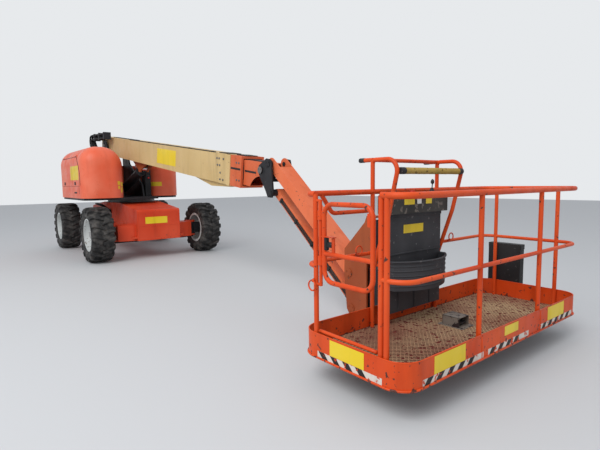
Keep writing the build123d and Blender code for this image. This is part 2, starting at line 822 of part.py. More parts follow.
head_along, head_rise = boom_local(*lift_head)
with BuildPart() as lift_bracket:
    cheek_pair(
        boom_side(),
        [
            (head_along - 420, under),
            (head_along + 420, under),
            (head_along + 70, head_rise - 30),
            (head_along + 40, head_rise - 72),
            (head_along - 40, head_rise - 72),
            (head_along - 70, head_rise - 30),
        ],
        lift_eye_half + cheek_gap,
        lift_cheek,
    )
save(lift_bracket.part, "lift_bracket")

with BuildPart() as boom_strips:
    for strip_start, strip_end, half_width in strips:
        slab(
            boom_side(),
            [
                (strip_start, base_height / 2),
                (strip_end, base_height / 2),
                (strip_end, base_height / 2 + strip_thick),
                (strip_start, base_height / 2 + strip_thick),
            ],
            half_width,
        )
save(boom_strips.part, "boom_strips")


# Wear pads: four blocks inside a section's front end, which the next section slides on
def make_pads(name, front, outer_width, outer_height, wall, inner_width, inner_height):
    side_thick = outer_width / 2 - wall - inner_width / 2 - pin_gap
    top_thick = outer_height / 2 - wall - inner_height / 2 - pin_gap
    with BuildPart() as pads:
        with BuildSketch(across(front - pad_length)):
            for s in (1, -1):
                with Locations((0, s * (outer_height / 2 - wall - top_thick / 2))):
                    Rectangle(0.7 * inner_width, top_thick)
                with Locations((s * (outer_width / 2 - wall - side_thick / 2), 0)):
                    Rectangle(side_thick, 0.6 * inner_height)
        extrude(amount=pad_length)
    save(pads.part, name)


make_pads("base_pads", base_front, base_width, base_height, base_wall, mid_width, mid_height)
make_pads("mid_pads", mid_front, mid_width, mid_height, mid_wall, fly_width, fly_height)

with BuildPart() as boom_mid:
    box_beam(mid_rear, mid_front, mid_width, mid_height, mid_wall)
    with BuildSketch(across(base_front + collar_gap)):
        Rectangle(base_width, base_height)
        Rectangle(mid_width - mid_wall, mid_height - mid_wall, mode=Mode.SUBTRACT)
    extrude(amount=mid_collar_length)
save(boom_mid.part, "boom_mid")

# Fly section: its nose is cut away below in an arch, so that the level knuckle can swing
pin_along, pin_rise = boom_local(*level_pin)
with BuildPart() as boom_fly:
    box_beam(fly_rear, fly_front, fly_width, fly_height, fly_wall)
    low = -fly_height / 2 - 1
    with BuildSketch(boom_side()):
        with BuildLine():
            l1 = Line((pin_along - 265, low), (pin_along + 400, low))
            l2 = Line(l1 @ 1, (pin_along + 400, fly_height / 2 + 1))
            l3 = Line(l2 @ 1, (pin_along + 52, fly_height / 2 + 1))
            a4 = ThreePointArc(l3 @ 1, (pin_along + level_nose_radius, pin_rise), (pin_along + 30, pin_rise - 74))
            l5 = Line(a4 @ 1, (pin_along - 60, pin_rise - 82))
            a6 = ThreePointArc(l5 @ 1, (pin_along - 185, pin_rise - 130), (pin_along - 265, low))
        make_face()
    extrude(amount=fly_width, both=True, mode=Mode.SUBTRACT)
    boss(side(), level_pin, level_nose_radius - 22, fly_width / 2 - fly_wall - 12, fly_width / 2 - 1)
    pin(side(), level_pin, level_pin_radius, knuckle_y + knuckle_plate + 10)
save(boom_fly.part, "boom_fly")


# Hydraulic cylinders: a bored barrel on its foot pin, and a rod whose eye ends inside two cheeks
def make_cylinder(name, foot, head, barrel, rod, eye, eye_half, eye_pin, neck, barrel_end, slack):
    reach = ((head[0] - foot[0]) ** 2 + (head[1] - foot[1]) ** 2) ** 0.5
    tip = -degrees(atan2(head[1] - foot[1], head[0] - foot[0]))
    plane = side(foot[0], foot[1], tip)
    along = Vector(cos(radians(tip)), 0, -sin(radians(tip)))
    start = Plane(origin=(foot[0], 0, foot[1]), x_dir=(0, 1, 0), z_dir=along)
    with BuildPart() as tube:
        pin(plane, (0, 0), eye, eye_half)
        with BuildSketch(start) as ring:
            Rectangle(2 * eye_half, 1.5 * eye)
        extrude(ring.sketch, amount=neck)
        with BuildSketch(start.offset(neck)) as ring:
            Circle(barrel)
        extrude(ring.sketch, amount=barrel_end - neck)
        with BuildSketch(start.offset(neck + bore_bottom)) as ring:
            Circle(rod + pin_gap)
        extrude(ring.sketch, amount=reach, mode=Mode.SUBTRACT)
        pin(plane, (0, 0), eye_pin + pin_gap, 4 * eye_half, mode=Mode.SUBTRACT)
    with BuildPart() as plunger:
        with BuildSketch(start.offset(neck + bore_bottom + slack)) as ring:
            Circle(rod)
        extrude(ring.sketch, amount=reach - neck - bore_bottom - slack)
        pin(plane, (reach, 0), eye, eye_half)
        pin(plane, (reach, 0), eye_pin, eye_half + cheek_gap - 1)
    save(tube.part, f"{name}_barrel")
    save(plunger.part, f"{name}_rod")


make_cylinder(
    "lift_cylinder", lift_foot, lift_head, lift_barrel_radius, lift_rod_radius, lift_eye_radius,
    lift_eye_half, lift_pin_radius, lift_neck, lift_barrel_end, lift_slack,
)
jib_drop_dir = Vector(-sin(radians(jib_drop)), 0, -cos(radians(jib_drop)))
jib_head = Vector(jib_top[0], 0, jib_top[1]) + jib_dir * jib_head_along + jib_drop_dir * jib_head_drop
make_cylinder(
    "jib_cylinder", jib_foot, (jib_head.X, jib_head.Z), jib_barrel_radius, jib_rod_radius, jib_eye_radius,
    jib_eye_half, jib_eye_pin, jib_neck, jib_barrel_end, jib_slack,
)

# Level knuckle: two cheeks outside the fly's nose, joined low down, with bosses for the jib's pins
with BuildPart() as jib_knuckle:
    cheek_pair(
        side(),
        [
            (level_pin[0] - 58, level_pin[1] + 10),
            (level_pin[0] - 36, level_pin[1] + 58),
            (jib_top[0] - 30, jib_top[1] + 62),
            (jib_top[0] + 48, jib_top[1] + 48),
            (jib_top[0] + 66, jib_top[1] - 20),
            (jib_low[0] + 62, jib_low[1] + 10),
            (jib_low[0] + 34, jib_low[1] - 56),
            (jib_low[0] - 44, jib_low[1] - 52),
            (jib_low[0] - 90, jib_low[1] + 30),
            (level_pin[0] - 40, level_pin[1] - 52),
        ],
        knuckle_y,
        knuckle_plate,
        [level_pin],
        level_pin_radius + pin_gap,
    )
    boss(side(), jib_top, 42, beam_width / 2 + cheek_gap, knuckle_y)
    boss(side(), jib_top, jib_pin_radius, beam_width / 2 - beam_wall - 10, knuckle_y)
    boss(side(), jib_low, 40, link_width / 2 + cheek_gap, knuckle_y)
    pin(side(), jib_low, jib_pin_radius, knuckle_y)
    with BuildSketch(side()):
        with Locations(knuckle_tube):
            Circle(knuckle_tube_radius)
    extrude(amount=knuckle_y, both=True)
    cheek_pair(
        side(),
        [
            (knuckle_tube[0] - 16, knuckle_tube[1] - 6),
            (knuckle_tube[0] + 18, knuckle_tube[1] - 14),
            (jib_foot[0] + 36, jib_foot[1] - 8),
            (jib_foot[0] + 22, jib_foot[1] + 26),
            (jib_foot[0] - 10, jib_foot[1] + 32),
            (jib_foot[0] - 34, jib_foot[1] + 10),
        ],
        jib_eye_half + cheek_gap,
        jib_lug_thick,
    )
    pin(side(), jib_foot, jib_eye_pin, jib_eye_half + cheek_gap + jib_lug_thick)
save(jib_knuckle.part, "jib_knuckle")

# Jib: the upper beam is a channel open below, round the cylinder; the lower link is a plain bar
jib_plane = side(jib_top[0], jib_top[1], jib_drop)
with BuildPart() as jib_beam:
    for turn in (1, -1):
        with BuildSketch(jib_plane.offset(turn * (beam_width / 2 - beam_wall))):
            with Locations((jib_length / 2, 0)):
                SlotCenterToCenter(jib_length, beam_depth)
            with Locations((0, 0), (jib_length, 0)):
                Circle(jib_pin_radius + pin_gap, mode=Mode.SUBTRACT)
        extrude(amount=turn * beam_wall)
    slab(
        jib_plane,
        [
            (150, beam_depth / 2),
            (jib_length - 20, beam_depth / 2),
            (jib_length - 20, beam_depth / 2 - beam_wall),
            (150, beam_depth / 2 - beam_wall),
        ],
        beam_width / 2 - beam_wall,
    )
    ear_inner = jib_eye_half + cheek_gap
    head = jib_head_along
    cheek_pair(
        jib_plane,
        [
            (head - 90, beam_depth / 2 - beam_wall),
            (head + 90, beam_depth / 2 - beam_wall),
            (head + 34, -jib_head_drop - 28),
            (head - 34, -jib_head_drop - 28),
        ],
        ear_inner,
        14,
    )
save(jib_beam.part, "jib_beam")

with BuildPart() as jib_link:
    with BuildSketch(side(jib_low[0], jib_low[1], jib_drop)):
        with Locations((jib_length / 2, 0)):
            SlotCenterToCenter(jib_length, link_depth)
        with Locations((0, 0), (jib_length, 0)):
            Circle(jib_pin_radius + pin_gap, mode=Mode.SUBTRACT)
    extrude(amount=link_width / 2, both=True)
save(jib_link.part, "jib_link")

# Jib hoses: two a side, clipped along the lower link from the knuckle to the head
with BuildPart() as jib_hoses:
    hose_run = jib_length - 2 * hose_end_gap
    clip_thick = 2 * hose_radius + 2 * seat_gap + 3
    for s in (1, -1):
        flank = Vector(jib_low[0], s * link_width / 2, jib_low[1])
        hose_foot = flank + jib_dir * hose_end_gap
        for rise in (-hose_step, hose_step):
            centre = hose_foot + Vector(0, s * (seat_gap + hose_radius), 0) - jib_drop_dir * rise
            with BuildSketch(Plane(origin=centre, z_dir=jib_dir)) as ring:
                Circle(hose_radius)
            extrude(ring.sketch, amount=hose_run)
        for step in range(hose_clip_count):
            clip = flank + jib_dir * (hose_end_gap + step * (hose_run - hose_clip_length) / (hose_clip_count - 1))
            with BuildSketch(Plane(origin=clip, x_dir=(0, 1, 0), z_dir=jib_dir)) as ring:
                with Locations((s * clip_thick / 2, 0)):
                    Rectangle(clip_thick, 2 * hose_step + 2 * hose_radius + 8)
            extrude(ring.sketch, amount=hose_clip_length)
save(jib_hoses.part, "jib_hoses")

# Jib head: two tall cheeks that stay upright, with the rotator's housing between them
head_y = beam_width / 2 + cheek_gap
head_top_x, head_top_end_z = jib_top_end
head_low_x, head_low_z = jib_low_end
head_front = rotator_x - rotator_radius + 5
with BuildPart() as jib_head_frame:
    cheek_pair(
        side(),
        [
            (head_top_x - 62, head_top_end_z - 37),
            (head_top_x - 58, head_top_end_z + 228),
            (head_front - 25, head_top_z - 60),
            (head_front, head_top_z),
            (rotator_x, head_top_z),
            (rotator_x, rotator_high + 49),
            (head_front, rotator_high + 37),
            (head_front, rotator_low - 15),
            (head_low_x + 138, head_low_z - 59),
            (head_low_x - 30, head_low_z - 59),
            (head_low_x - 58, head_low_z - 17),
        ],
        head_y,
        head_plate,
    )
    pin(side(), jib_top_end, jib_pin_radius, head_y)
    pin(side(), jib_low_end, jib_pin_radius, head_y)
    boss(side(), jib_low_end, 40, link_width / 2 + cheek_gap, head_y)
    web_front = rotator_x - rotator_back
    web_back = web_front - head_web
    web_low, web_high = rotator_low - 35, rotator_high + 25
    slab(side(), [(web_back, web_low), (web_front, web_low), (web_front, web_high), (web_back, web_high)], head_y)
    cap_low = head_top_z - 16
    slab(
        side(),
        [(head_front, cap_low), (rotator_x, cap_low), (rotator_x, head_top_z), (head_front, head_top_z)],
        head_y,
    )
save(jib_head_frame.part, "jib_head")

with BuildPart() as rotator:
    with BuildSketch(Plane.XY.offset(rotator_low)):
        with Locations((rotator_x, 0)):
            Circle(rotator_radius)
    extrude(amount=rotator_high - rotator_low)
    with BuildSketch(Plane.XY.offset(rotator_low + 40)):
        with Locations((rotator_x - rotator_back / 2, 0)):
            Rectangle(rotator_back, 150)
    extrude(amount=rotator_high - rotator_low - 80)
save(rotator.part, "rotator")

# Platform support: two arms clamp the rotator above and below and carry a frame under the floor
with BuildPart() as platform_support:
    post_x = platform_rear - 42
    for z in (rotator_high + seat_gap, rotator_low - seat_gap - arm_thick):
        with BuildSketch(Plane.XY.offset(z)):
            with Locations((rotator_x, 0)):
                Circle(arm_half_width)
            with Locations(((rotator_x + platform_rear) / 2, 0)):
                Rectangle(platform_rear - rotator_x, 2 * arm_half_width)
        extrude(amount=arm_thick)
    for s in (1, -1):
        with BuildSketch(Plane.XY.offset(rotator_low - seat_gap - arm_thick)):
            with Locations(((post_x + platform_rear) / 2, s * 100)):
                Rectangle(42, 60)
        extrude(amount=880)
    with BuildSketch(Plane.XY.offset(floor_z - floor_thick - 40)):
        with Locations((platform_rear - 21, 0)):
            Rectangle(42, 900)
        with Locations((platform_rear + 390, 350), (platform_rear + 390, -350)):
            Rectangle(820, 60)
    extrude(amount=40)
save(platform_support.part, "platform_support")


# Platform: floor plate, a toe board round it with a lip along its foot, and the tubular rails
def platform_ring(inset):
    with Locations(((platform_rear + platform_front) / 2, 0)):
        RectangleRounded(platform_depth - 2 * inset, platform_length - 2 * inset, platform_corner - inset)


with BuildPart() as platform_floor:
    with BuildSketch(Plane.XY.offset(floor_z - floor_thick)):
        platform_ring(toe_wall + seat_gap)
    extrude(amount=floor_thick)
save(platform_floor.part, "platform_floor")

with BuildPart() as toe_board:
    with BuildSketch(Plane.XY.offset(floor_z - floor_thick)) as ring:
        with Locations(((platform_rear + platform_front) / 2, 0)):
            RectangleRounded(platform_depth, platform_length, platform_corner)
            RectangleRounded(
                platform_depth - 2 * toe_wall,
                platform_length - 2 * toe_wall,
                platform_corner - toe_wall,
                mode=Mode.SUBTRACT,
            )
    extrude(amount=toe_height + floor_thick)
save(toe_board.part, "toe_board")

bend = platform_corner - rail_inset
guard_top = floor_z + guard_height
rail_bars = [
    pipe(
        [
            (gate_post, -rail_end, rail_z),
            (rail_front, -rail_end, rail_z),
            (rail_front, rail_end, rail_z),
            (rail_back, rail_end, rail_z),
            (rail_back, -rail_end, rail_z),
            (hinge_post, -rail_end, rail_z),
        ],
        rail_radius,
        [bend, bend, bend, bend - 8],
    ),
    pipe(
        [
            (gate_post, -rail_end, mid_rail_z),
            (rail_front, -rail_end, mid_rail_z),
            (rail_front, rail_end, mid_rail_z),
            (rail_back, rail_end, mid_rail_z),
            (rail_back, guard_y[1], mid_rail_z),
        ],
        mid_rail_radius,
        [bend, bend, bend],
    ),
    pipe(
        [
            (rail_back, guard_y[0], mid_rail_z),
            (rail_back, -rail_end, mid_rail_z),
            (hinge_post, -rail_end, mid_rail_z),
        ],
        mid_rail_radius,
        bend - 8,
    ),
    pipe([(rail_back, guard_y[0], guard_top), (rail_back, guard_y[1], guard_top)], gate_radius),
    pipe(
        [(rail_back, -1040, rail_z), (rail_back, -930, 1160), (rail_back, guard_y[0], 1160)],
        gate_radius,
        60,
    ),
    pipe(
        [
            (gate_hinge_x, -rail_end, gate_low_z - gate_rod_margin - gate_ear_radius),
            (gate_hinge_x, -rail_end, gate_high_z + gate_rod_margin),
        ],
        gate_rod_radius,
    ),
]
for z in (gate_low_z - gate_rod_margin - 4, gate_high_z + gate_rod_margin - 6):
    rail_bars.append(pipe([(hinge_post, -rail_end, z), (gate_hinge_x, -rail_end, z)], gate_ear_radius))
for x, y in (
    (gate_post, -rail_end),
    (gate_post + 42, -rail_end),
    (hinge_post, -rail_end),
    (rail_front, -420),
    (rail_front, 450),
    (gate_post, rail_end),
    (hinge_post, rail_end),
):
    rail_bars.append(pipe([(x, y, floor_z), (x, y, rail_z)], post_radius))
for y in guard_y:
    rail_bars.append(
        pipe(
            [
                (rail_back, y, floor_z),
                (rail_back, y, guard_top),
                (rail_back + guard_reach, y, guard_top),
                (rail_back + 160, y, 1130),
                (rail_back + 8, y, 700),
            ],
            post_radius,
            [30, 90, 120],
        )
    )
with BuildPart() as platform_rails:
    add(rail_bars)
save(platform_rails.part, "platform_rails")

bar_x = rail_back + guard_reach - 12
with BuildPart() as guard_bar:
    bar_half_gap = post_radius + seat_gap
    add(
        pipe(
            [(bar_x, guard_y[0] + bar_half_gap, guard_bar_z), (bar_x, guard_y[1] - bar_half_gap, guard_bar_z)],
            guard_bar_radius,
        )
    )
save(guard_bar.part, "guard_bar")

# Gate: a rounded loop with one bar across, on two sleeves round the hinge rod
gate_left = gate_hinge_x + 36
gate_right = gate_post - rail_radius - 25 - gate_radius
gate_middle = (gate_left + gate_right) / 2
gate_half = (gate_right - gate_left) / 2
gate_bars = [pipe([(gate_left, -rail_end, gate_bar_z), (gate_right, -rail_end, gate_bar_z)], gate_radius - 1)]
for s in (1, -1):
    gate_bars.append(
        pipe(
            [
                (gate_middle, -rail_end, gate_low_z),
                (gate_middle + s * gate_half, -rail_end, gate_low_z),
                (gate_middle + s * gate_half, -rail_end, gate_high_z),
                (gate_middle, -rail_end, gate_high_z),
            ],
            gate_radius,
            gate_corner,
        )
    )
with BuildPart() as gate:
    add(gate_bars)
    for z in (gate_low_z + gate_sleeve_rise, gate_high_z - gate_sleeve_rise):
        with BuildSketch(Plane.XY.offset(z)):
            with Locations((gate_hinge_x, -rail_end)):
                Circle(gate_sleeve_radius)
            with Locations(((gate_hinge_x + gate_left) / 2, -rail_end)):
                Rectangle(gate_left - gate_hinge_x, 16)
            with Locations((gate_hinge_x, -rail_end)):
                Circle(gate_rod_radius + pin_gap, mode=Mode.SUBTRACT)
        extrude(amount=gate_sleeve_length)
save(gate.part, "gate")

# Control console: a tall housing on a back plate, an open tray with a rolled lip, and the box on top
back = rail_back + post_radius + seat_gap
console_front = back + console_depth
console_middle = (console_y[0] + console_y[1]) / 2
console_half = (console_y[1] - console_y[0]) / 2
with BuildPart() as console:
    slab(
        Plane.XY.offset(mid_rail_z + 40),
        [(back, guard_y[0] - 12), (back + 8, guard_y[0] - 12), (back + 8, guard_y[1] + 12), (back, guard_y[1] + 12)],
        220,
        both=False,
    )
    with BuildSketch(Plane.XY.offset(console_low)):
        with Locations((back + console_depth / 2, console_middle)):
            Rectangle(console_depth, 2 * console_half)
    extrude(amount=console_high - console_low)
    for grow, low, mode in (
        (0, tray_z, Mode.ADD),
        (tray_wall, tray_z + tray_height - tray_lip, Mode.ADD),
        (-tray_wall, tray_z + tray_wall, Mode.SUBTRACT),
    ):
        root = console_front - (0 if mode == Mode.SUBTRACT else 5)
        flank = console_half - 20 + grow
        with BuildSketch(Plane.XY.offset(low)) as tray:
            with BuildLine():
                t1 = Line((root, console_middle - flank), (root, console_middle + flank))
                t2 = Line(t1 @ 1, (console_front + tray_flank, console_middle + flank))
                t3 = ThreePointArc(
                    t2 @ 1,
                    (console_front + tray_reach + grow, console_middle),
                    (console_front + tray_flank, console_middle - flank),
                )
                t4 = Line(t3 @ 1, t1 @ 0)
            make_face()
        extrude(tray.sketch, amount=tray_z + tray_height - low, mode=mode)
save(console.part, "console")

with BuildPart() as control_box:
    with BuildSketch(Plane.XY.offset(console_high)):
        with Locations((back + control_box_depth / 2, console_middle)):
            Rectangle(control_box_depth, 2 * console_half + 20)
    extrude(amount=control_box_height)
    fillet(control_box.edges().group_by(Axis.Z)[-1], control_box_round)
save(control_box.part, "control_box")

with BuildPart() as document_box:
    with BuildSketch(Plane.XY.offset(toe_top - document_box_lap)):
        with Locations((platform_rear + document_box_setback, platform_half + seat_gap + document_box_depth / 2)):
            Rectangle(document_box_length, document_box_depth)
    extrude(amount=document_box_height)
save(document_box.part, "document_box")

with BuildPart() as foot_switch:
    for base, (length, width, height) in (
        (floor_z, foot_switch_plate),
        (floor_z + foot_switch_plate[2], foot_switch_pedal),
    ):
        with BuildSketch(Plane.XY.offset(base)):
            with Locations((platform_rear + foot_switch_setback, foot_switch_y)):
                Rectangle(length, width)
        extrude(amount=height)
save(foot_switch.part, "foot_switch")
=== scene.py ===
import math

import bpy
from mathutils import Matrix, Vector, noise


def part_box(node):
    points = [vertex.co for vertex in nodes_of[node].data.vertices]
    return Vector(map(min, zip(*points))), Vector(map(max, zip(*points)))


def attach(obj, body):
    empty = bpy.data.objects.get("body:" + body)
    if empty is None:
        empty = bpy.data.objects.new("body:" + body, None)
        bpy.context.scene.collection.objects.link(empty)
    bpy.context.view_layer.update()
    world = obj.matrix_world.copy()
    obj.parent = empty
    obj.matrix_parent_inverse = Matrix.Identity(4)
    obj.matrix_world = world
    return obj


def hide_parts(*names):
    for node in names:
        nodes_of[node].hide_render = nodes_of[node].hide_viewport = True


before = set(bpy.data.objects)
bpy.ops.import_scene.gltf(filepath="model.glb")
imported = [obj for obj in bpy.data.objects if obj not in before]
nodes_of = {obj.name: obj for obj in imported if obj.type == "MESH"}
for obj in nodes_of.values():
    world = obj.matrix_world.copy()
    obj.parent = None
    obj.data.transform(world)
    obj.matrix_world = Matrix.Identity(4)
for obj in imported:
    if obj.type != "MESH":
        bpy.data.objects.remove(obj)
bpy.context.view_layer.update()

# Ground, backdrop and light: an overcast sky from all round, and one broad soft lamp high on the
# right, so that every colour renders about as it is written.
ground_size = 60
backdrop_colour = (0.80, 0.82, 0.84, 1)


def new_material(name):
    material = bpy.data.materials.new(name)
    material.use_nodes = True
    tree = material.node_tree
    return material, tree.nodes, tree.links, tree.nodes["Principled BSDF"]


def add_object(name, data):
    made = bpy.data.objects.new(name, data)
    bpy.context.scene.collection.objects.link(made)
    return made


ground_mesh = bpy.data.meshes.new("ground")
half_ground = ground_size / 2
ground_corners = [(x * half_ground, y * half_ground, 0) for x, y in ((-1, -1), (1, -1), (1, 1), (-1, 1))]
ground_mesh.from_pydata(ground_corners, [], [(0, 1, 2, 3)])
ground = add_object("ground", ground_mesh)
ground_finish, _, _, ground_shader = new_material("ground_finish")
ground_shader.inputs["Base Color"].default_value = (0.55, 0.56, 0.57, 1)
ground_shader.inputs["Roughness"].default_value = 0.75
ground_mesh.materials.append(ground_finish)

sky = bpy.data.worlds.new("sky")
sky.use_nodes = True
bpy.context.scene.world = sky
sky_nodes, sky_links = sky.node_tree.nodes, sky.node_tree.links
sky_light = sky_nodes["Background"]
sky_light.inputs["Color"].default_value = (0.92, 0.95, 1, 1)
sky_light.inputs["Strength"].default_value = 0.70
sky_seen = sky_nodes.new("ShaderNodeBackground")
sky_seen.inputs["Color"].default_value = backdrop_colour
sky_path = sky_nodes.new("ShaderNodeLightPath")
sky_mix = sky_nodes.new("ShaderNodeMixShader")
sky_links.new(sky_path.outputs["Is Camera Ray"], sky_mix.inputs["Fac"])
sky_links.new(sky_light.outputs["Background"], sky_mix.inputs[1])
sky_links.new(sky_seen.outputs["Background"], sky_mix.inputs[2])
sky_links.new(sky_mix.outputs["Shader"], sky_nodes["World Output"].inputs["Surface"])

soft_lamp = bpy.data.lights.new("soft_lamp", "AREA")
soft_lamp.shape = "RECTANGLE"
soft_lamp.size, soft_lamp.size_y = 9, 7
soft_lamp.energy = 1250
lamp_at, lamp_aim = Vector((9, -9, 10)), Vector((3.5, 0, 1))
lamp = add_object("soft_lamp", soft_lamp)
lamp.location = lamp_at
lamp.rotation_euler = (lamp_aim - lamp_at).to_track_quat("-Z", "Y").to_euler()

# Camera: a phone's wide lens, held at chest height off the platform's near corner. Its place, its
# direction and its small roll were solved from the photograph.
camera_at = Vector((9.678, -3.082, 1.380))
camera_look = Vector((-0.7777, 0.6213, -0.0952))
camera_roll = -0.0125
camera = add_object("camera", bpy.data.cameras.new("camera"))
camera.data.sensor_width = 36
camera.data.lens = 26.3
camera.location = camera_at
camera_turn = camera_look.to_track_quat("-Z", "Y").to_matrix() @ Matrix.Rotation(camera_roll, 3, "Z")
camera.rotation_euler = camera_turn.to_euler()
bpy.context.scene.camera = camera
bpy.context.scene.view_settings.view_transform = "Standard"


# Tyres: chunky block-tread rubber, seventeen bars to each side, staggered, each running from the
# middle of the tread over the shoulder. The rubber is grey with dust in patches.
wheel_centre_z = 0.5
axle_x, half_track = 1.24, 1.03
wheel_spots = {
    "front_left": (axle_x, half_track),
    "front_right": (axle_x, -half_track),
    "rear_left": (-axle_x, half_track),
    "rear_right": (-axle_x, -half_track),
}
bars_per_side = 17
bar_lag = 0.07  # turn of the whole pattern of bars, in radians
bar_spread, bar_edge_drop, bar_edge_round = 0.007, 0.004, 0.005
carcass_steps = 108
# From the bead outwards: distance from the middle, radius
carcass = [(0.150, 0.292), (0.166, 0.297), (0.170, 0.312), (0.182, 0.330), (0.188, 0.352), (0.189, 0.380)]
carcass += [(0.186, 0.410), (0.176, 0.436), (0.158, 0.453), (0.120, 0.460), (0.060, 0.463), (0.0, 0.464)]
# Along a bar: distance from the middle, radius at its top, radius at its foot, half width, turn back
bar_stations = [
    (-0.014, 0.4975, 0.455, 0.024, 0.150),
    (0.030, 0.4985, 0.455, 0.026, 0.112),
    (0.075, 0.4980, 0.452, 0.027, 0.066),
    (0.120, 0.4965, 0.448, 0.030, 0.026),
    (0.155, 0.4920, 0.440, 0.034, 0.004),
    (0.180, 0.4800, 0.425, 0.038, -0.006),
    (0.194, 0.4600, 0.415, 0.038, -0.010),
    (0.198, 0.4320, 0.405, 0.034, -0.010),
    (0.193, 0.4050, 0.395, 0.028, -0.008),
]


def mesh_object(name, shape, material, smooth=True):
    """A mesh made from a shape's points and faces, in place, with one material."""
    mesh = bpy.data.meshes.new(name)
    points, faces = shape
    mesh.from_pydata(points, [], faces)
    mesh.materials.append(material)
    mesh.validate()
    mesh.polygons.foreach_set("use_smooth", [smooth] * len(mesh.polygons))
    mesh.update()
    return add_object(name, mesh)


def node(nodes, kind, **inputs):
    """A shader node with some of its inputs set by name."""
    made = nodes.new(kind)
    for key, value in inputs.items():
        made.inputs[key.replace("_", " ")].default_value = value
    return made


def grain(nodes, links, scale, detail=4.0, stretch=(1, 1, 1)):
    """Noise from 0 to 1 in the piece's own metres, finer as scale grows."""
    where = nodes.new("ShaderNodeTexCoord")
    fit = node(nodes, "ShaderNodeMapping", Scale=stretch)
    texture = node(nodes, "ShaderNodeTexNoise", Scale=scale, Detail=detail)
    links.new(where.outputs["Object"], fit.inputs["Vector"])
    links.new(fit.outputs["Vector"], texture.inputs["Vector"])
    return texture.outputs["Fac"]


def span(nodes, links, value, low, high, bottom=0.0, top=1.0):
    """Spreads a value between low and high over bottom to top, clamped."""
    made = nodes.new("ShaderNodeMapRange")
    links.new(value, made.inputs["Value"])
    for key, number in (("From Min", low), ("From Max", high), ("To Min", bottom), ("To Max", top)):
        made.inputs[key].default_value = number
    return made.outputs["Result"]


def blend_colour(nodes, links, share, first, second):
    """Mixes two colours, each a socket or a plain colour, by a share from 0 to 1."""
    made = nodes.new("ShaderNodeMix")
    made.data_type = "RGBA"
    links.new(share, made.inputs["Factor"])
    for socket, colour in ((made.inputs[6], first), (made.inputs[7], second)):
        if isinstance(colour, tuple):
            socket.default_value = (*colour, 1)
        else:
            links.new(colour, socket)
    return made.outputs[2]


def roughen(nodes, links, shader, height, strength, distance):
    bump = node(nodes, "ShaderNodeBump", Strength=strength, Distance=distance)
    links.new(height, bump.inputs["Height"])
    links.new(bump.outputs["Normal"], shader.inputs["Normal"])


def tyre_rubber():
    material, nodes, links, shader = new_material("tyre_rubber")
    dust = span(nodes, links, grain(nodes, links, 9, 6), 0.45, 0.72)
    black = blend_colour(nodes, links, dust, (0.013, 0.012, 0.012), (0.090, 0.082, 0.075))
    links.new(black, shader.inputs["Base Color"])
    links.new(span(nodes, links, grain(nodes, links, 30), 0.3, 0.7, 0.55, 0.9), shader.inputs["Roughness"])
    roughen(nodes, links, shader, grain(nodes, links, 220, 6), 0.35, 0.002)
    return material


def tyre_shape(x, y):
    """Points and faces of one tyre: the turned carcass, then the bars laid over it."""
    out = 1 if y > 0 else -1
    points, faces = [], []

    def place(across, radius, angle):
        points.append((x + radius * math.sin(angle), y + across, wheel_centre_z + radius * math.cos(angle)))

    section = carcass + [(-across, radius) for across, radius in reversed(carcass[:-1])]
    for i in range(carcass_steps):
        for across, radius in section:
            place(across * out, radius, 2 * math.pi * i / carcass_steps)
    rows = len(section)
    for i in range(carcass_steps):
        here, there = i * rows, (i + 1) % carcass_steps * rows
        for j in range(rows):
            faces.append((here + j, here + (j + 1) % rows, there + (j + 1) % rows, there + j))
    for i in range(bars_per_side):
        for hand in (1, -1):
            middle = 2 * math.pi * (i + out * hand / 4) / bars_per_side - bar_lag
            first = len(points)
            for across, top, foot, half, back in bar_stations:
                flank = ((foot, half + bar_spread), (top - bar_edge_drop, half), (top, half - bar_edge_round))
                for radius, reach in flank:
                    place(across * hand, radius, middle + back - reach / radius)
                for radius, reach in reversed(flank):
                    place(across * hand, radius, middle + back + reach / radius)
            width = 6
            for k in range(len(bar_stations) - 1):
                for j in range(width):
                    a, b = first + k * width + j, first + k * width + (j + 1) % width
                    faces.append((a, b, b + width, a + width))
            last = first + (len(bar_stations) - 1) * width
            faces.append(tuple(range(first, first + width)))
            faces.append(tuple(range(last, last + width)))
    return points, faces


rubber = tyre_rubber()
for spot, (wheel_x, wheel_y) in wheel_spots.items():
    tyre = mesh_object(f"tread_{spot}", tyre_shape(wheel_x, wheel_y), rubber, smooth=False)
    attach(tyre, f"wheel_{spot}")
    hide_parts(f"tyre_{spot}")


# Rims: pressed steel dishes in pale grey paint, dusty and scuffed, held by ten nuts on a bolt circle
# round the hub.
nut_count, nut_circle, nut_half, nut_height = 10, 0.118, 0.013, 0.022
disc_offset, hub_radius, hub_height = 0.076, 0.062, 0.045


def dress(material, *part_names):
    """Gives CAD nodes their finish in every material slot."""
    for part_name in part_names:
        target = nodes_of[part_name].data.materials
        if not target:
            target.append(material)
        for i in range(len(target)):
            target[i] = material


def scuff_low(nodes, links, value, low, high, extra):
    """Raises a value toward the foot of a piece, by extra at a low height and nothing at a high one."""
    where, split = nodes.new("ShaderNodeTexCoord"), nodes.new("ShaderNodeSeparateXYZ")
    links.new(where.outputs["Object"], split.inputs["Vector"])
    total = nodes.new("ShaderNodeMath")
    total.operation = "ADD"
    links.new(value, total.inputs[0])
    links.new(span(nodes, links, split.outputs["Z"], low, high, extra, 0.0), total.inputs[1])
    return total.outputs[0]


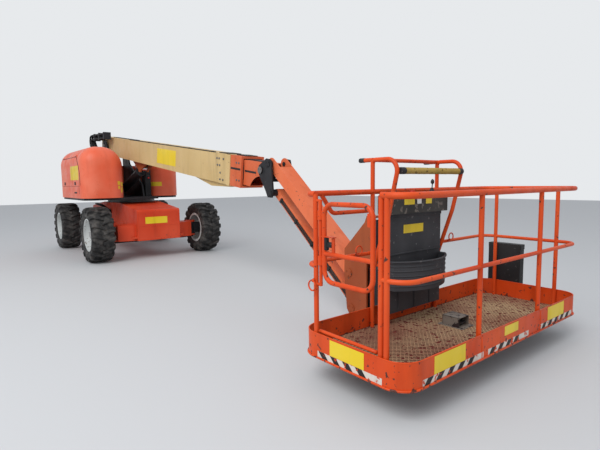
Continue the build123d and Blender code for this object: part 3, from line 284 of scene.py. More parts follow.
def paint(name, colour, faded, worn, gloss=0.42, chip_from=0.66, streaks=0.35, peel=0.05, foot=None):
    """Sprayed paint: faded in broad patches, run with dirt, chipped here and there to what is below."""
    material, nodes, links, shader = new_material(name)
    shader.inputs["Specular IOR Level"].default_value = 0.25
    patches = span(nodes, links, grain(nodes, links, 1.6, 5), 0.35, 0.68)
    coat = blend_colour(nodes, links, patches, colour, faded)
    runs = span(nodes, links, grain(nodes, links, 5, 6, (1.6, 1.6, 0.25)), 0.52, 0.78, 0, streaks)
    coat = blend_colour(nodes, links, runs, coat, tuple(0.35 * c for c in colour))
    flaws = grain(nodes, links, 26, 8)
    if foot:
        flaws = scuff_low(nodes, links, flaws, *foot)
    chips = span(nodes, links, flaws, chip_from, chip_from + 0.03)
    coat = blend_colour(nodes, links, chips, coat, worn)
    links.new(coat, shader.inputs["Base Color"])
    sheen = span(nodes, links, grain(nodes, links, 7, 4), 0.3, 0.7, gloss - 0.08, gloss + 0.16)
    links.new(sheen, shader.inputs["Roughness"])
    roughen(nodes, links, shader, grain(nodes, links, 160, 3), peel, 0.002)
    return material


rim_paint = paint("rim_paint", (0.50, 0.52, 0.51), (0.66, 0.67, 0.66), (0.22, 0.19, 0.16), chip_from=0.62)
nut_steel = paint("nut_steel", (0.30, 0.30, 0.30), (0.42, 0.41, 0.40), (0.15, 0.11, 0.08), chip_from=0.6)


def close_rings(faces, first, count):
    """Faces between two like rings of points, the second right after the first, and over both ends."""
    for i in range(count):
        j = (i + 1) % count
        faces.append((first + i, first + j, first + count + j, first + count + i))
    faces.append(tuple(first + i for i in reversed(range(count))))
    faces.append(tuple(first + count + i for i in range(count)))


def prism(shape, centre, axis, radius, length, sides):
    """Adds a straight bar with equal sides, from centre along axis, to a shape's points and faces."""
    points, faces = shape
    axis = Vector(axis).normalized()
    side_way = axis.orthogonal().normalized()
    other = axis.cross(side_way)
    first = len(points)
    for step in (0, length):
        for i in range(sides):
            angle = 2 * math.pi * i / sides
            spoke = math.cos(angle) * side_way + math.sin(angle) * other
            points.append(tuple(Vector(centre) + axis * step + radius * spoke))
    close_rings(faces, first, sides)


for spot, (wheel_x, wheel_y) in wheel_spots.items():
    dress(rim_paint, f"rim_{spot}")
    out = 1 if wheel_y > 0 else -1
    low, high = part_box(f"rim_{spot}")
    disc_y = wheel_y + out * disc_offset
    shape = [], []
    for i in range(nut_count):
        angle = 2 * math.pi * i / nut_count
        at = (wheel_x + nut_circle * math.cos(angle), disc_y, wheel_centre_z + nut_circle * math.sin(angle))
        prism(shape, at, (0, out, 0), nut_half, nut_height, 6)
    hub_centre = (wheel_x, disc_y, wheel_centre_z)
    prism(shape, hub_centre, (0, out, 0), hub_radius, hub_height, 28)
    nuts = mesh_object(f"wheel_nuts_{spot}", shape, nut_steel, smooth=False)
    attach(nuts, f"wheel_{spot}")


# Chassis: welded plate in bright orange, with the axles, and black castings at the steered wheels.
# A blank plate is riveted to the nose, and four bolts hold the cap of each front kingpin.
chassis_paint = paint(
    "chassis_paint", (0.58, 0.044, 0.011), (0.68, 0.080, 0.030), (0.10, 0.05, 0.04),
    chip_from=0.68, foot=(0.30, 0.60, 0.04))
black_paint = paint(
    "black_paint", (0.012, 0.012, 0.014), (0.030, 0.030, 0.033), (0.10, 0.09, 0.08), chip_from=0.68)
oiled_steel = paint("oiled_steel", (0.12, 0.12, 0.12), (0.22, 0.21, 0.20), (0.08, 0.05, 0.03), gloss=0.35)
dress(chassis_paint, "chassis_frame", "front_axle", "rear_axle", "tie_down_lugs")
dress(black_paint, "steer_knuckle_left", "steer_knuckle_right", "tie_rod")
nose_x = 1.5505
kingpin_y, kingpin_top, kingpin_bolt_circle = 0.79, 0.6545, 0.047
x_way, y_way, z_way = (1, 0, 0), (0, 1, 0), (0, 0, 1)


def forward_oblong(x, y0, y1, z0, z1):
    """Corners of an upright plate that faces forward, anticlockwise seen from outside."""
    return [(x, y0, z0), (x, y1, z0), (x, y1, z1), (x, y0, z1)]


def sheets(name, outlines, thick, material, body, bevel=0.0):
    """Thin plates: each outline runs anticlockwise seen from outside, and lies on what carries it."""
    points, faces = [], []
    for outline in outlines:
        corners = [Vector(corner) for corner in outline]
        out = (corners[1] - corners[0]).cross(corners[-1] - corners[0]).normalized()
        first = len(points)
        points += [tuple(corner) for corner in corners] + [tuple(corner + out * thick) for corner in corners]
        close_rings(faces, first, len(corners))
    return finish_piece(name, (points, faces), material, body, bevel)


def finish_piece(name, shape, material, body, bevel=0.0, smooth=False):
    """Makes a piece from a shape, softens its edges and lets it ride on a body."""
    made = mesh_object(name, shape, material, smooth)
    if bevel:
        soften = made.modifiers.new("edges", "BEVEL")
        soften.width, soften.segments, soften.limit_method, soften.angle_limit = bevel, 2, "ANGLE", 0.6
    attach(made, body)
    return made


def bolt_head(shape, place, axis, radius, height):
    """A hexagon bolt head on its washer, standing along an axis."""
    prism(shape, place, axis, radius * 1.35, height * 0.25, 14)
    prism(shape, place, axis, radius, height, 6)


def even_turns(count, start=0.0):
    return [2 * math.pi * (k + start) / count for k in range(count)]


def bolt_ring(shape, centre, across, up, circle, turns, axis, radius, height):
    """Bolt heads on a circle round centre, each at its turn from across toward up."""
    for turn in turns:
        spoke = math.cos(turn) * Vector(across) + math.sin(turn) * Vector(up)
        bolt_head(shape, Vector(centre) + circle * spoke, axis, radius, height)


yellow_plate = paint(
    "yellow_plate", (0.76, 0.54, 0.015), (0.80, 0.60, 0.05), (0.30, 0.22, 0.05), gloss=0.35, chip_from=0.74)
white_plate = paint(
    "white_plate", (0.66, 0.66, 0.63), (0.74, 0.73, 0.70), (0.35, 0.33, 0.30), gloss=0.35, chip_from=0.74)
nose_plate = forward_oblong(nose_x, -0.26, 0.16, 0.66, 0.785)
sheets("nose_plate", [nose_plate], 0.002, yellow_plate, "chassis", 0.0006)
shape = [], []
for y in (-0.245, 0.145):
    for z in (0.672, 0.773):
        prism(shape, (nose_x + 0.002, y, z), (1, 0, 0), 0.004, 0.002, 10)
for side in (1, -1):
    kingpin = (axle_x, side * kingpin_y, kingpin_top)
    bolt_ring(shape, kingpin, x_way, y_way, kingpin_bolt_circle, even_turns(4), z_way, 0.009, 0.007)
finish_piece("chassis_bolts", shape, oiled_steel, "chassis")
shape = [], []
for y in (-0.396, 0.396):
    prism(shape, (1.5500, y, 0.372), (0, 0, 1), 0.0075, 0.49, 10)
prism(shape, (1.5500, -0.385, 0.622), (0, 1, 0), 0.0045, 0.77, 10)
for side in (1, -1):
    prism(shape, (0.30, side * 0.410, 0.640), (1, 0, 0), 0.0065, 0.68, 10)
finish_piece("weld_seams", shape, chassis_paint, "chassis")

# Swing bearing: an oiled steel ring between the chassis and the turntable's black frame, bolted down
# all round.
ring_bolts, ring_bolt_circle, ring_bolt_z = 28, 0.485, 1.030
dress(oiled_steel, "swing_bearing", "boom_pivot_pin")
dress(black_paint, "turntable_frame")
shape = [], []
turns = even_turns(ring_bolts, 0.5)
bolt_ring(shape, (0, 0, ring_bolt_z), x_way, y_way, ring_bolt_circle, turns, z_way, 0.011, 0.010)
finish_piece("bearing_bolts", shape, oiled_steel, "chassis")

# Boom pivot: a steel pin through both uprights. A round cap covers each of its ends, and four bolts
# hold the cap to the upright.
pivot_x, pivot_z = -1.0, 2.285
cap_y, cap_face_y, cap_radius, cap_bolt_circle = 0.230, 0.238, 0.078, 0.061
shape = [], []
for side in (1, -1):
    out_way, turns = (0, side, 0), (0.8, 2.36, 3.93, 5.5)
    prism(shape, (pivot_x, side * cap_y, pivot_z), out_way, cap_radius, 0.008, 36)
    cap_face = (pivot_x, side * cap_face_y, pivot_z)
    bolt_ring(shape, cap_face, x_way, z_way, cap_bolt_circle, turns, out_way, 0.009, 0.007)
finish_piece("pivot_caps", shape, black_paint, "turntable", 0.0012)

# Hoods: large hollow mouldings in red-orange, chalked by the sun in broad patches. Each has a
# door with a curved front seam and two framed latches, and blank yellow plates are stuck on.
hood_paint = paint(
    "hood_paint", (0.76, 0.115, 0.050), (0.82, 0.200, 0.115), (0.50, 0.12, 0.07),
    gloss=0.34, chip_from=0.72, streaks=0.2)
dress(hood_paint, "hood_right", "hood_left", "door_right", "door_left")
black_plastic = paint(
    "black_plastic", (0.014, 0.014, 0.015), (0.035, 0.035, 0.036), (0.07, 0.07, 0.07), gloss=0.5, streaks=0.1)
right_side_y, left_side_y = -1.1503, 1.0503


def upright_oblong(x0, x1, z0, z1, y):
    """Corners of an upright plate on a side of the machine, anticlockwise seen from outside."""
    if y < 0:
        return [(x0, y, z0), (x1, y, z0), (x1, y, z1), (x0, y, z1)]
    return [(x1, y, z0), (x0, y, z0), (x0, y, z1), (x1, y, z1)]


door_plate = upright_oblong(-0.06, 0.60, 1.49, 1.76, right_side_y)
sheets("hood_plate", [door_plate], 0.0015, yellow_plate, "right_door", 0.0005)
points, faces = [], []
corner_round = 0.26
# Labels bent round the front corners: corner's centre, hand, start and end in degrees, foot and top
for (corner_x, corner_y), hand, start, end, low_z, high_z in (
    ((0.64, -0.63), 1, 24, 38, 1.39, 1.46),
    ((0.64, -0.63), 1, 42, 62, 1.36, 1.44),
    ((0.64, -0.63), 1, 26, 36, 1.31, 1.37),
    ((0.64, -0.63), 1, 42, 56, 1.24, 1.34),
    ((-0.11, 0.66), -1, 8, 62, 1.355, 1.445),
):
    first = len(points)
    for k in range(9):
        turn = math.radians(start + (end - start) * k / 8)
        for radius in (corner_round + 0.0003, corner_round + 0.0015):
            for z in (low_z, high_z):
                label_y = corner_y + hand * radius * math.sin(turn)
                points.append((corner_x + radius * math.cos(turn), label_y, z))
    for k in range(8):
        a, b = first + 4 * k, first + 4 * k + 4
        for p, q in ((0, 1), (1, 3), (3, 2), (2, 0)):
            faces.append((a + p, a + q, b + q, b + p))
    for a in (first, first + 32):
        faces.append((a, a + 1, a + 3, a + 2))
finish_piece("hood_labels", (points, faces), yellow_plate, "turntable")
slits = [
    upright_oblong(0.595, 0.607, 1.225, 1.350, right_side_y),
    upright_oblong(0.20, 0.42, 1.232, 1.262, right_side_y),
]
sheets("hood_slits", slits, 0.001, black_plastic, "turntable")


def smooth_path(path, step):
    """Points at an even step along a smooth curve through the given points."""
    path = [Vector(at) for at in path]
    dense = []
    for i in range(len(path) - 1):
        before, a, b, after = path[max(i - 1, 0)], path[i], path[i + 1], path[min(i + 2, len(path) - 1)]
        for k in range(24):
            s = k / 24
            square = 2 * before - 5 * a + 4 * b - after
            cube = 3 * a - before - 3 * b + after
            dense.append(0.5 * (2 * a + (b - before) * s + square * s * s + cube * s**3))
    dense.append(path[-1])
    even, left = [dense[0]], 0.0
    for a, b in zip(dense, dense[1:]):
        run = (b - a).length
        while left + run >= step:
            share = (step - left) / run
            a = a.lerp(b, share)
            run = (b - a).length
            even.append(a.copy())
            left = 0.0
        left += run
    return even


def hose(shape, path, radii, sides=12):
    """Adds a closed tube along an even path; radii repeat along it, so two values make ribs."""
    points, faces = shape
    first = len(points)
    ahead = [(path[min(i + 1, len(path) - 1)] - path[max(i - 1, 0)]).normalized() for i in range(len(path))]
    across = ahead[0].orthogonal().normalized()
    for i, (at, way) in enumerate(zip(path, ahead)):
        across = (across - way * across.dot(way)).normalized()
        other = way.cross(across)
        radius = radii[i % len(radii)]
        for k in range(sides):
            angle = 2 * math.pi * k / sides
            points.append(tuple(at + radius * (math.cos(angle) * across + math.sin(angle) * other)))
    for i in range(len(path) - 1):
        for k in range(sides):
            j = (k + 1) % sides
            a = first + i * sides
            faces.append((a + k, a + j, a + sides + j, a + sides + k))
    faces.append(tuple(first + k for k in reversed(range(sides))))
    last = first + (len(path) - 1) * sides
    faces.append(tuple(last + k for k in range(sides)))


def door_surface(x, z, side, outer, shoulder_z, shoulder, corner_x):
    """A point on a hood's outer side, over its rounded shoulder and front corner."""
    drop = shoulder - math.sqrt(shoulder**2 - max(z - shoulder_z, 0) ** 2)
    drop += corner_round - math.sqrt(corner_round**2 - max(x - corner_x, 0) ** 2)
    return Vector((x, side * (outer - drop), z))


latch_frame_thick = 0.004
for name, body, latches, y in (
    ("right_latches", "right_door", (-0.62, 0.30), right_side_y),
    ("left_latches", "left_door", (-0.62, -0.25), left_side_y),
):
    outlines = [upright_oblong(x - 0.055, x + 0.055, 1.395, 1.455, y) for x in latches]
    sheets(name + "_frame", outlines, latch_frame_thick, black_plastic, body, 0.0015)
    proud_y = y + math.copysign(latch_frame_thick, y)
    paddles = [upright_oblong(x - 0.036, x + 0.036, 1.405, 1.440, proud_y) for x in latches]
    sheets(name, paddles, 0.003, black_paint, body, 0.001)
seal_inset, seal_start, seal_foot_z, seal_radius = 0.016, 0.05, 1.385, 0.0055
for name, body, side, outer, shoulder, top, drop, rear, front, sweep in (
    ("right_seal", "right_door", -1, 1.15, 0.32, 2.12, 0.17, -0.90, 0.70, 0.38),
    ("left_seal", "left_door", 1, 1.05, 0.30, 1.96, 0.15, -0.90, -0.05, 0.26),
):
    high_z = top - drop - seal_inset
    sweep += 0.006
    straight = front - sweep - rear - seal_start
    outline = [(rear + seal_start + straight * k / 12, high_z) for k in range(12)]
    for k in range(15):
        turn = math.radians(90 - 6.43 * k)
        reach = sweep - seal_inset
        outline.append((front - sweep + reach * math.cos(turn), top - drop - sweep + reach * math.sin(turn)))
    bend_z = top - drop - sweep
    for z in (bend_z - 0.02, (bend_z + seal_foot_z) / 2, seal_foot_z):
        outline.append((front - seal_inset, z))
    line = [door_surface(x, z, side, outer, top - shoulder, shoulder, front - 0.06) for x, z in outline]
    shape = [], []
    hose(shape, smooth_path(line, 0.02), (seal_radius,), 8)
    finish_piece(name, shape, black_plastic, body, smooth=True)

# Counterweight: a thick iron casting across the tail of the turntable, behind the hoods. Its orange
# paint shows the rough skin of the mould.
counterweight_paint = paint(
    "counterweight_paint", (0.70, 0.085, 0.035), (0.76, 0.120, 0.055), (0.12, 0.06, 0.05), peel=0.25)
dress(counterweight_paint, "counterweight")

# Engine and tanks: dark masses under the hoods, and the ground controls' cabinet with its stop button
# and two rows of toggles on the panel that faces forward.
cast_iron = paint("cast_iron", (0.030, 0.030, 0.030), (0.065, 0.060, 0.055), (0.12, 0.06, 0.03), gloss=0.6)
dress(cast_iron, "engine_block")
dress(black_plastic, "tank_block", "ground_control")
stop_red = paint(
    "stop_red", (0.60, 0.010, 0.010), (0.66, 0.030, 0.025), (0.25, 0.02, 0.02), gloss=0.3, chip_from=0.76)
shape = [], []
for y in (0.305, 0.330, 0.355):
    for z in (1.58, 1.64):
        prism(shape, (0.1523, y, z), (1, 0, 0), 0.006, 0.004, 12)
        prism(shape, (0.1563, y, z), (1, 0, 0.35), 0.0025, 0.014, 8)
finish_piece("ground_toggles", shape, oiled_steel, "turntable")
shape = [], []
prism(shape, (0.1523, 0.330, 1.535), (1, 0, 0), 0.010, 0.012, 20)
prism(shape, (0.1643, 0.330, 1.535), (1, 0, 0), 0.019, 0.010, 28)
finish_piece("ground_stop", shape, stop_red, "turntable", 0.003)

# Hose loop: six ribbed conduits, three abreast and two deep, which rise from the counterweight, turn
# over behind the boom's pivot and end in a clamp beside it. Two more hoses arch over the chassis.
loop_path = [(-1.39, 1.842), (-1.40, 2.04), (-1.44, 2.20), (-1.56, 2.30), (-1.645, 2.40)]
loop_path += [(-1.62, 2.475), (-1.50, 2.495), (-1.10, 2.480), (-0.75, 2.462), (-0.48, 2.452)]
conduit_columns = (-0.272, -0.315, -0.358)
conduit_radius = 0.0205
conduit_rows = (-0.046, 0.046)
rib_step, rib_depth = 0.018, 0.0035
rib_radii = (conduit_radius, conduit_radius, conduit_radius - rib_depth, conduit_radius - rib_depth)
ribbed_rubber = paint(
    "ribbed_rubber", (0.010, 0.010, 0.011), (0.030, 0.029, 0.028), (0.05, 0.05, 0.05), gloss=0.5, streaks=0.1)

shape = [], []
middle_line = [Vector((x, 0, z)) for x, z in loop_path]
for row in conduit_rows:
    moved = []
    for i, at in enumerate(middle_line):
        way = (middle_line[min(i + 1, len(middle_line) - 1)] - middle_line[max(i - 1, 0)]).normalized()
        moved.append(at + Vector((-way.z, 0, way.x)) * row)
    for column in conduit_columns:
        line = [Vector((at.x, column, at.z)) for at in moved]
        even = smooth_path(line, rib_step / 4)
        hose(shape, even, rib_radii, 10)
conduits = finish_piece("hose_conduits", shape, ribbed_rubber, "turntable", smooth=True)
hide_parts("hose_loop")


def block(shape, low, high, place=lambda x, y, z: (x, y, z)):
    """Adds a box between two corners; place turns it when it isn't square to the machine."""
    points, faces = shape
    first = len(points)
    for x in (low[0], high[0]):
        for y in (low[1], high[1]):
            for z in (low[2], high[2]):
                points.append(tuple(place(x, y, z)))
    for quad in ((0, 1, 3, 2), (4, 6, 7, 5), (0, 4, 5, 1), (2, 3, 7, 6), (0, 2, 6, 4), (1, 5, 7, 3)):
        faces.append(tuple(first + k for k in quad))


shape = [], []
for clamp_low, clamp_high in (
    ((-1.49, -0.385, 1.8405), (-1.29, -0.245, 1.870)),
    ((-0.50, -0.385, 2.375), (-0.44, -0.232, 2.530)),
    ((-1.26, -0.385, 2.400), (-1.22, -0.245, 2.560)),
    ((-0.88, -0.385, 2.385), (-0.84, -0.245, 2.550)),
):
    block(shape, clamp_low, clamp_high)
finish_piece("hose_clamps", shape, black_paint, "turntable", 0.003)

shape = [], []
for shift in (0.0, 0.034):
    arch = [(-0.62, -0.395, 0.905), (-0.58, -0.47 - shift, 0.955), (-0.42, -0.585 - shift, 0.995)]
    arch += [(-0.16, -0.625 - shift, 1.000), (0.06, -0.585 - shift, 0.965)]
    arch += [(0.15, -0.50 - shift, 0.880), (0.16, -0.425, 0.800 - shift)]
    hose(shape, smooth_path(arch, 0.018), (0.0140,), 12)
finish_piece("chassis_hoses", shape, ribbed_rubber, "chassis", smooth=True)

# Boom: a cream base section and scuffed orange inner sections, box beams of folded plate. A band
# stiffens the base's mouth, adjusting bolts press its wear pads, and a blank yellow plate is on it.
cream_paint = paint(
    "cream_paint", (0.56, 0.39, 0.17), (0.64, 0.46, 0.22), (0.20, 0.10, 0.05), gloss=0.5, chip_from=0.70)
boom_paint = paint(
    "boom_paint", (0.58, 0.110, 0.036), (0.68, 0.16, 0.07), (0.25, 0.08, 0.04), gloss=0.5, chip_from=0.66)
jib_paint = paint(
    "jib_paint", (0.68, 0.130, 0.042), (0.76, 0.19, 0.085), (0.25, 0.09, 0.05), gloss=0.5, chip_from=0.68)
# Dull brown: the orange paint darkened as painted shade, for the jib head and the lift bracket, which sit in
# shadow.
orange_painted_shade = paint(
    "orange_painted_shade", (0.29, 0.055, 0.015), (0.38, 0.092, 0.030), (0.12, 0.05, 0.03), gloss=0.5, chip_from=0.66)
dress(cream_paint, "boom_base")
# The lift bracket under the boom gets the same painted shade.
dress(orange_painted_shade, "lift_bracket")
dress(boom_paint, "boom_mid", "boom_fly")
dress(black_plastic, "boom_strips", "base_pads", "mid_pads")
boom_drop = math.radians(7.4)
boom_ahead = Vector((math.cos(boom_drop), 0, -math.sin(boom_drop)))
boom_up = Vector((math.sin(boom_drop), 0, math.cos(boom_drop)))
boom_start = Vector((pivot_x, 0, pivot_z))


def on_boom(along, y, rise):
    return boom_start + boom_ahead * along + boom_up * rise + Vector((0, y, 0))


shape = [], []
for low_y, high_y, low_rise, high_rise in (
    (-0.177, -0.170, -0.207, 0.207),
    (0.170, 0.177, -0.207, 0.207),
    (-0.177, 0.177, 0.200, 0.207),
    (-0.128, 0.128, -0.2075, -0.2005),
):
    block(shape, (5.545, low_y, low_rise), (5.622, high_y, high_rise), on_boom)
finish_piece("boom_mouth_band", shape, cream_paint, "base_section", 0.0015)
boom_side = 0.170
base_places = ((5.26, 0.13), (5.32, 0.13), (5.28, 0.04), (5.34, 0.04))
base_places += ((5.36, -0.06), (5.36, -0.15), (5.44, 0.13), (5.44, -0.15))
mid_places = ((5.78, 0.11), (5.84, 0.11), (5.80, -0.11), (5.86, -0.11))
for name, body, places, radius, height in (
    ("base_bolts", "base_section", base_places, 0.011, 0.012),
    ("mid_bolts", "mid_section", mid_places, 0.010, 0.010),
):
    shape = [], []
    for side in (1, -1):
        for along, rise in places:
            bolt_at = on_boom(along, side * boom_side, rise)
            bolt_head(shape, bolt_at, (0, side, 0), radius, height)
    finish_piece(name, shape, oiled_steel, body)
shape = [], []
for rise, y in ((0.2075, -0.158), (0.2075, -0.140)):
    hose(shape, [on_boom(1.56 + 3.60 * k / 24, y, rise) for k in range(25)], (0.0070,), 8)
for along in (1.75, 2.60, 3.45, 4.30, 5.05):
    block(shape, (along, -0.168, 0.2003), (along + 0.03, -0.130, 0.217), on_boom)
finish_piece("boom_lines", shape, black_plastic, "base_section")
boom_y = -0.1703
boom_plate = [(2.01, boom_y, 1.77), (2.81, boom_y, 1.67), (2.85, boom_y, 1.92), (2.06, boom_y, 2.02)]
sheets("boom_plate", [boom_plate], 0.0015, yellow_plate, "base_section", 0.0005)
for name, body, y, outline in (
    ("mid_strip", "mid_section", -0.1703, ((5.64, 0.020), (5.88, 0.020), (5.88, 0.045), (5.64, 0.045))),
    ("fly_strip", "fly_section", -0.1263, ((5.92, 0.010), (6.18, 0.010), (6.18, 0.034), (5.92, 0.034))),
):
    strip = [tuple(on_boom(a, y, r)) for a, r in outline]
    sheets(name, [strip], 0.003, black_plastic, body, 0.001)
for name, body, low, high in (
    ("mid_top_strip", "mid_section", (5.64, -0.09, 0.2003), (5.87, 0.09, 0.212)),
    ("fly_top_strip", "fly_section", (5.92, -0.07, 0.1583), (6.30, 0.07, 0.168)),
):
    shape = [], []
    block(shape, low, high, on_boom)
    finish_piece(name, shape, black_plastic, body, 0.002)

# Lift cylinder: a black barrel closed by a bolted gland, and a chromed rod that runs out of it to the
# bracket under the boom. The jib's cylinder has the same finish.
chrome = paint(
    "rod_chrome", (0.55, 0.55, 0.56), (0.66, 0.66, 0.67), (0.30, 0.28, 0.26), gloss=0.18, chip_from=0.8)
chrome.node_tree.nodes["Principled BSDF"].inputs["Metallic"].default_value = 1
dress(black_paint, "lift_cylinder_barrel", "jib_cylinder_barrel")
dress(chrome, "lift_cylinder_rod", "jib_cylinder_rod")
lift_foot, lift_head = Vector((-0.75, 0, 1.23)), Vector((0.842, 0, 1.713))
lift_way = (lift_head - lift_foot).normalized()
gland_start, gland_bolts, gland_bolt_circle = 1.425, 8, 0.073
gland_face, gland_up = lift_foot + lift_way * 1.470, (-lift_way.z, 0, lift_way.x)
shape = [], []
prism(shape, lift_foot + lift_way * gland_start, lift_way, 0.0925, 0.045, 40)
turns = even_turns(gland_bolts)
bolt_ring(shape, gland_face, gland_up, y_way, gland_bolt_circle, turns, lift_way, 0.008, 0.007)
finish_piece("lift_gland", shape, black_paint, "lift_barrel", 0.002)

# Jib: a light orange box beam and the link under it, welded from plate, between the black knuckle and
# the head. Bolted caps close their pins, and ribbed sleeves guard the hoses at the cylinder.
dress(black_paint, "jib_knuckle")
dress(jib_paint, "jib_beam", "jib_link")
dress(ribbed_rubber, "jib_hoses")
pin_cap_radius, pin_cap_thick, pin_bolt_circle = 0.043, 0.007, 0.029
for name, body, material, slot, pins, y in (
    ("knuckle_caps", "level_knuckle", black_paint, "black_paint", ((5.42, 1.61), (5.45, 1.27)), 0.152),
    ("head_caps", "arm_head", orange_painted_shade, "head_brown", ((6.7223, 0.5173), (6.7523, 0.1773)), 0.126),
    ("level_caps", "fly_section", oiled_steel, "bearing_steel", ((5.27, 1.54),), 0.162),
):
    shape = [], []
    for side in (1, -1):
        for x, z in pins:
            out_way, turns = (0, side, 0), (0.5, 2.6, 4.7)
            prism(shape, (x, side * y, z), out_way, pin_cap_radius, pin_cap_thick, 32)
            cap_face = (x, side * (y + pin_cap_thick), z)
            bolt_ring(shape, cap_face, x_way, z_way, pin_bolt_circle, turns, out_way, 0.007, 0.006)
    finish_piece(name, shape, material, body, 0.001)

jib_foot = Vector((5.44, 0, 1.52))
jib_way = Vector((0.7468, 0, -0.6651)).normalized()
shape = [], []
sleeve = smooth_path([jib_foot + jib_way * 0.10, jib_foot + jib_way * 0.35, jib_foot + jib_way * 0.62], 0.006)
hose(shape, sleeve, (0.0350, 0.0395, 0.0395, 0.0350), 20)
for y in (-0.062, 0.062):
    run = [jib_foot + Vector((0, y, 0)) + jib_way * along for along in (0.06, 0.35, 0.66)]
    hose(shape, smooth_path(run, 0.005), (0.0150, 0.0150, 0.0120, 0.0120), 12)
finish_piece("jib_sleeves", shape, ribbed_rubber, "jib_barrel", smooth=True)

# Jib head and rotator: cheeks welded from plate, their orange darkened to a dull brown as painted shade,
# and a black case that turns the platform, with a ring of bolts on top.
rotator_top, rotator_bolts, rotator_bolt_circle = (7.04, 0, 0.6403), 8, 0.055
dress(orange_painted_shade, "jib_head")
dress(black_paint, "rotator")
shape = [], []
turns = even_turns(rotator_bolts, 0.5)
bolt_ring(shape, rotator_top, x_way, y_way, rotator_bolt_circle, turns, z_way, 0.009, 0.009)
prism(shape, rotator_top, z_way, 0.030, 0.016, 28)
finish_piece("rotator_bolts", shape, oiled_steel, "platform")

# Platform: tube and plate in strong orange, chipped along its foot. A rolled lip runs round the foot
# of the toe board, with blank yellow plates and worn black and white hazard bands above it.
platform_paint = paint(
    "platform_paint", (0.60, 0.054, 0.006), (0.70, 0.092, 0.018), (0.085, 0.030, 0.022),
    chip_from=0.65, foot=(0.20, 0.33, 0.09))
dress(platform_paint, "platform_support", "toe_board", "platform_rails", "gate")
platform_half_width = 1.22
platform_low, platform_high = Vector((7.332, -platform_half_width)), Vector((8.242, platform_half_width))
platform_corner = 0.15
toe_foot_z, toe_top_z = 0.206, 0.376


def round_oblong(grow, z, steps=10):
    """Closed loop of points round the platform, outside its toe board by grow."""
    loop, reach = [], platform_corner + grow
    inset = Vector((platform_corner, platform_corner))
    low, high = platform_low + inset, platform_high - inset
    corners = ((high.x, high.y, 0), (low.x, high.y, 90), (low.x, low.y, 180), (high.x, low.y, 270))
    for cx, cy, start in corners:
        for k in range(steps + 1):
            a = math.radians(start + 90 * k / steps)
            loop.append(Vector((cx + reach * math.cos(a), cy + reach * math.sin(a), z)))
    return loop + [loop[0]]


shape = [], []
hose(shape, round_oblong(0.003, toe_foot_z + 0.007), (0.0075,), 10)
hose(shape, round_oblong(-0.003, toe_top_z), (0.0045,), 8)
finish_piece("toe_beads", shape, platform_paint, "platform", smooth=True)
side_y, front_x = -1.2203, 8.2423
toe_plates = [upright_oblong(7.64, 7.94, 0.262, 0.366, side_y)]
for y0, y1, z0, z1 in ((-0.95, -0.62, 0.262, 0.370), (0.58, 0.89, 0.262, 0.370), (-0.12, 0.08, 0.300, 0.366)):
    toe_plates.append(forward_oblong(front_x, y0, y1, z0, z1))
sheets("toe_plates", toe_plates, 0.0012, yellow_plate, "platform", 0.0004)
band_low, band_high, bar_pitch, bar_lean, bar_inset = 0.217, 0.260, 0.112, 0.040, 0.01
white_bands, black_bars = [], []
# Bands: the axis that each runs along, its start and end, and which way its bars lean
for axis, start, end, lean in (
    ("x", 7.52, 8.08, -1),
    ("y", -1.06, -0.40, 1),
    ("y", -0.34, 0.25, 1),
    ("y", 0.46, 1.06, 1),
):
    for shade, lift in ((white_bands, 0.0), (black_bars, 0.0006)):
        pieces_along = [(start, end, 0.0)]
        if shade is black_bars:
            count = int((end - start - bar_lean) / bar_pitch)
            starts = [start + k * bar_pitch + bar_inset for k in range(count)]
            pieces_along = [(at, at + bar_pitch / 2, lean * bar_lean) for at in starts]
        for a, b, shift in pieces_along:
            low_shift, high_shift = max(-shift, 0), max(shift, 0)
            quad = [(a + low_shift, band_low), (b + low_shift, band_low)]
            quad += [(b + high_shift, band_high), (a + high_shift, band_high)]
            if axis == "x":
                shade.append([(at, side_y - lift, z) for at, z in quad])
            else:
                shade.append([(front_x + lift, at, z) for at, z in quad])
band_white = paint(
    "band_white", (0.62, 0.56, 0.50), (0.70, 0.66, 0.60), (0.55, 0.060, 0.015),
    gloss=0.5, chip_from=0.57, streaks=0.5)
band_black = paint(
    "band_black", (0.016, 0.015, 0.015), (0.035, 0.033, 0.032), (0.50, 0.050, 0.012),
    gloss=0.5, chip_from=0.60)
sheets("hazard_white", white_bands, 0.0006, band_white, "platform")
sheets("hazard_black", black_bars, 0.0006, band_black, "platform")
shape = [], []
seam_height = toe_top_z - toe_foot_z - 0.014
for y in (-0.42, 0.45):
    prism(shape, (front_x, y, toe_foot_z + 0.012), (0, 0, 1), 0.004, seam_height, 8)
# The sill tube lies on the toe board under the gate
sill_start, sill_step, sill_y, sill_radius = 7.515, 0.0505, -1.1935, 0.0120
sill = [Vector((sill_start + sill_step * k, sill_y, toe_top_z + 0.0145)) for k in range(11)]
hose(shape, sill, (sill_radius,), 14)
finish_piece("toe_seams", shape, platform_paint, "platform", smooth=True)

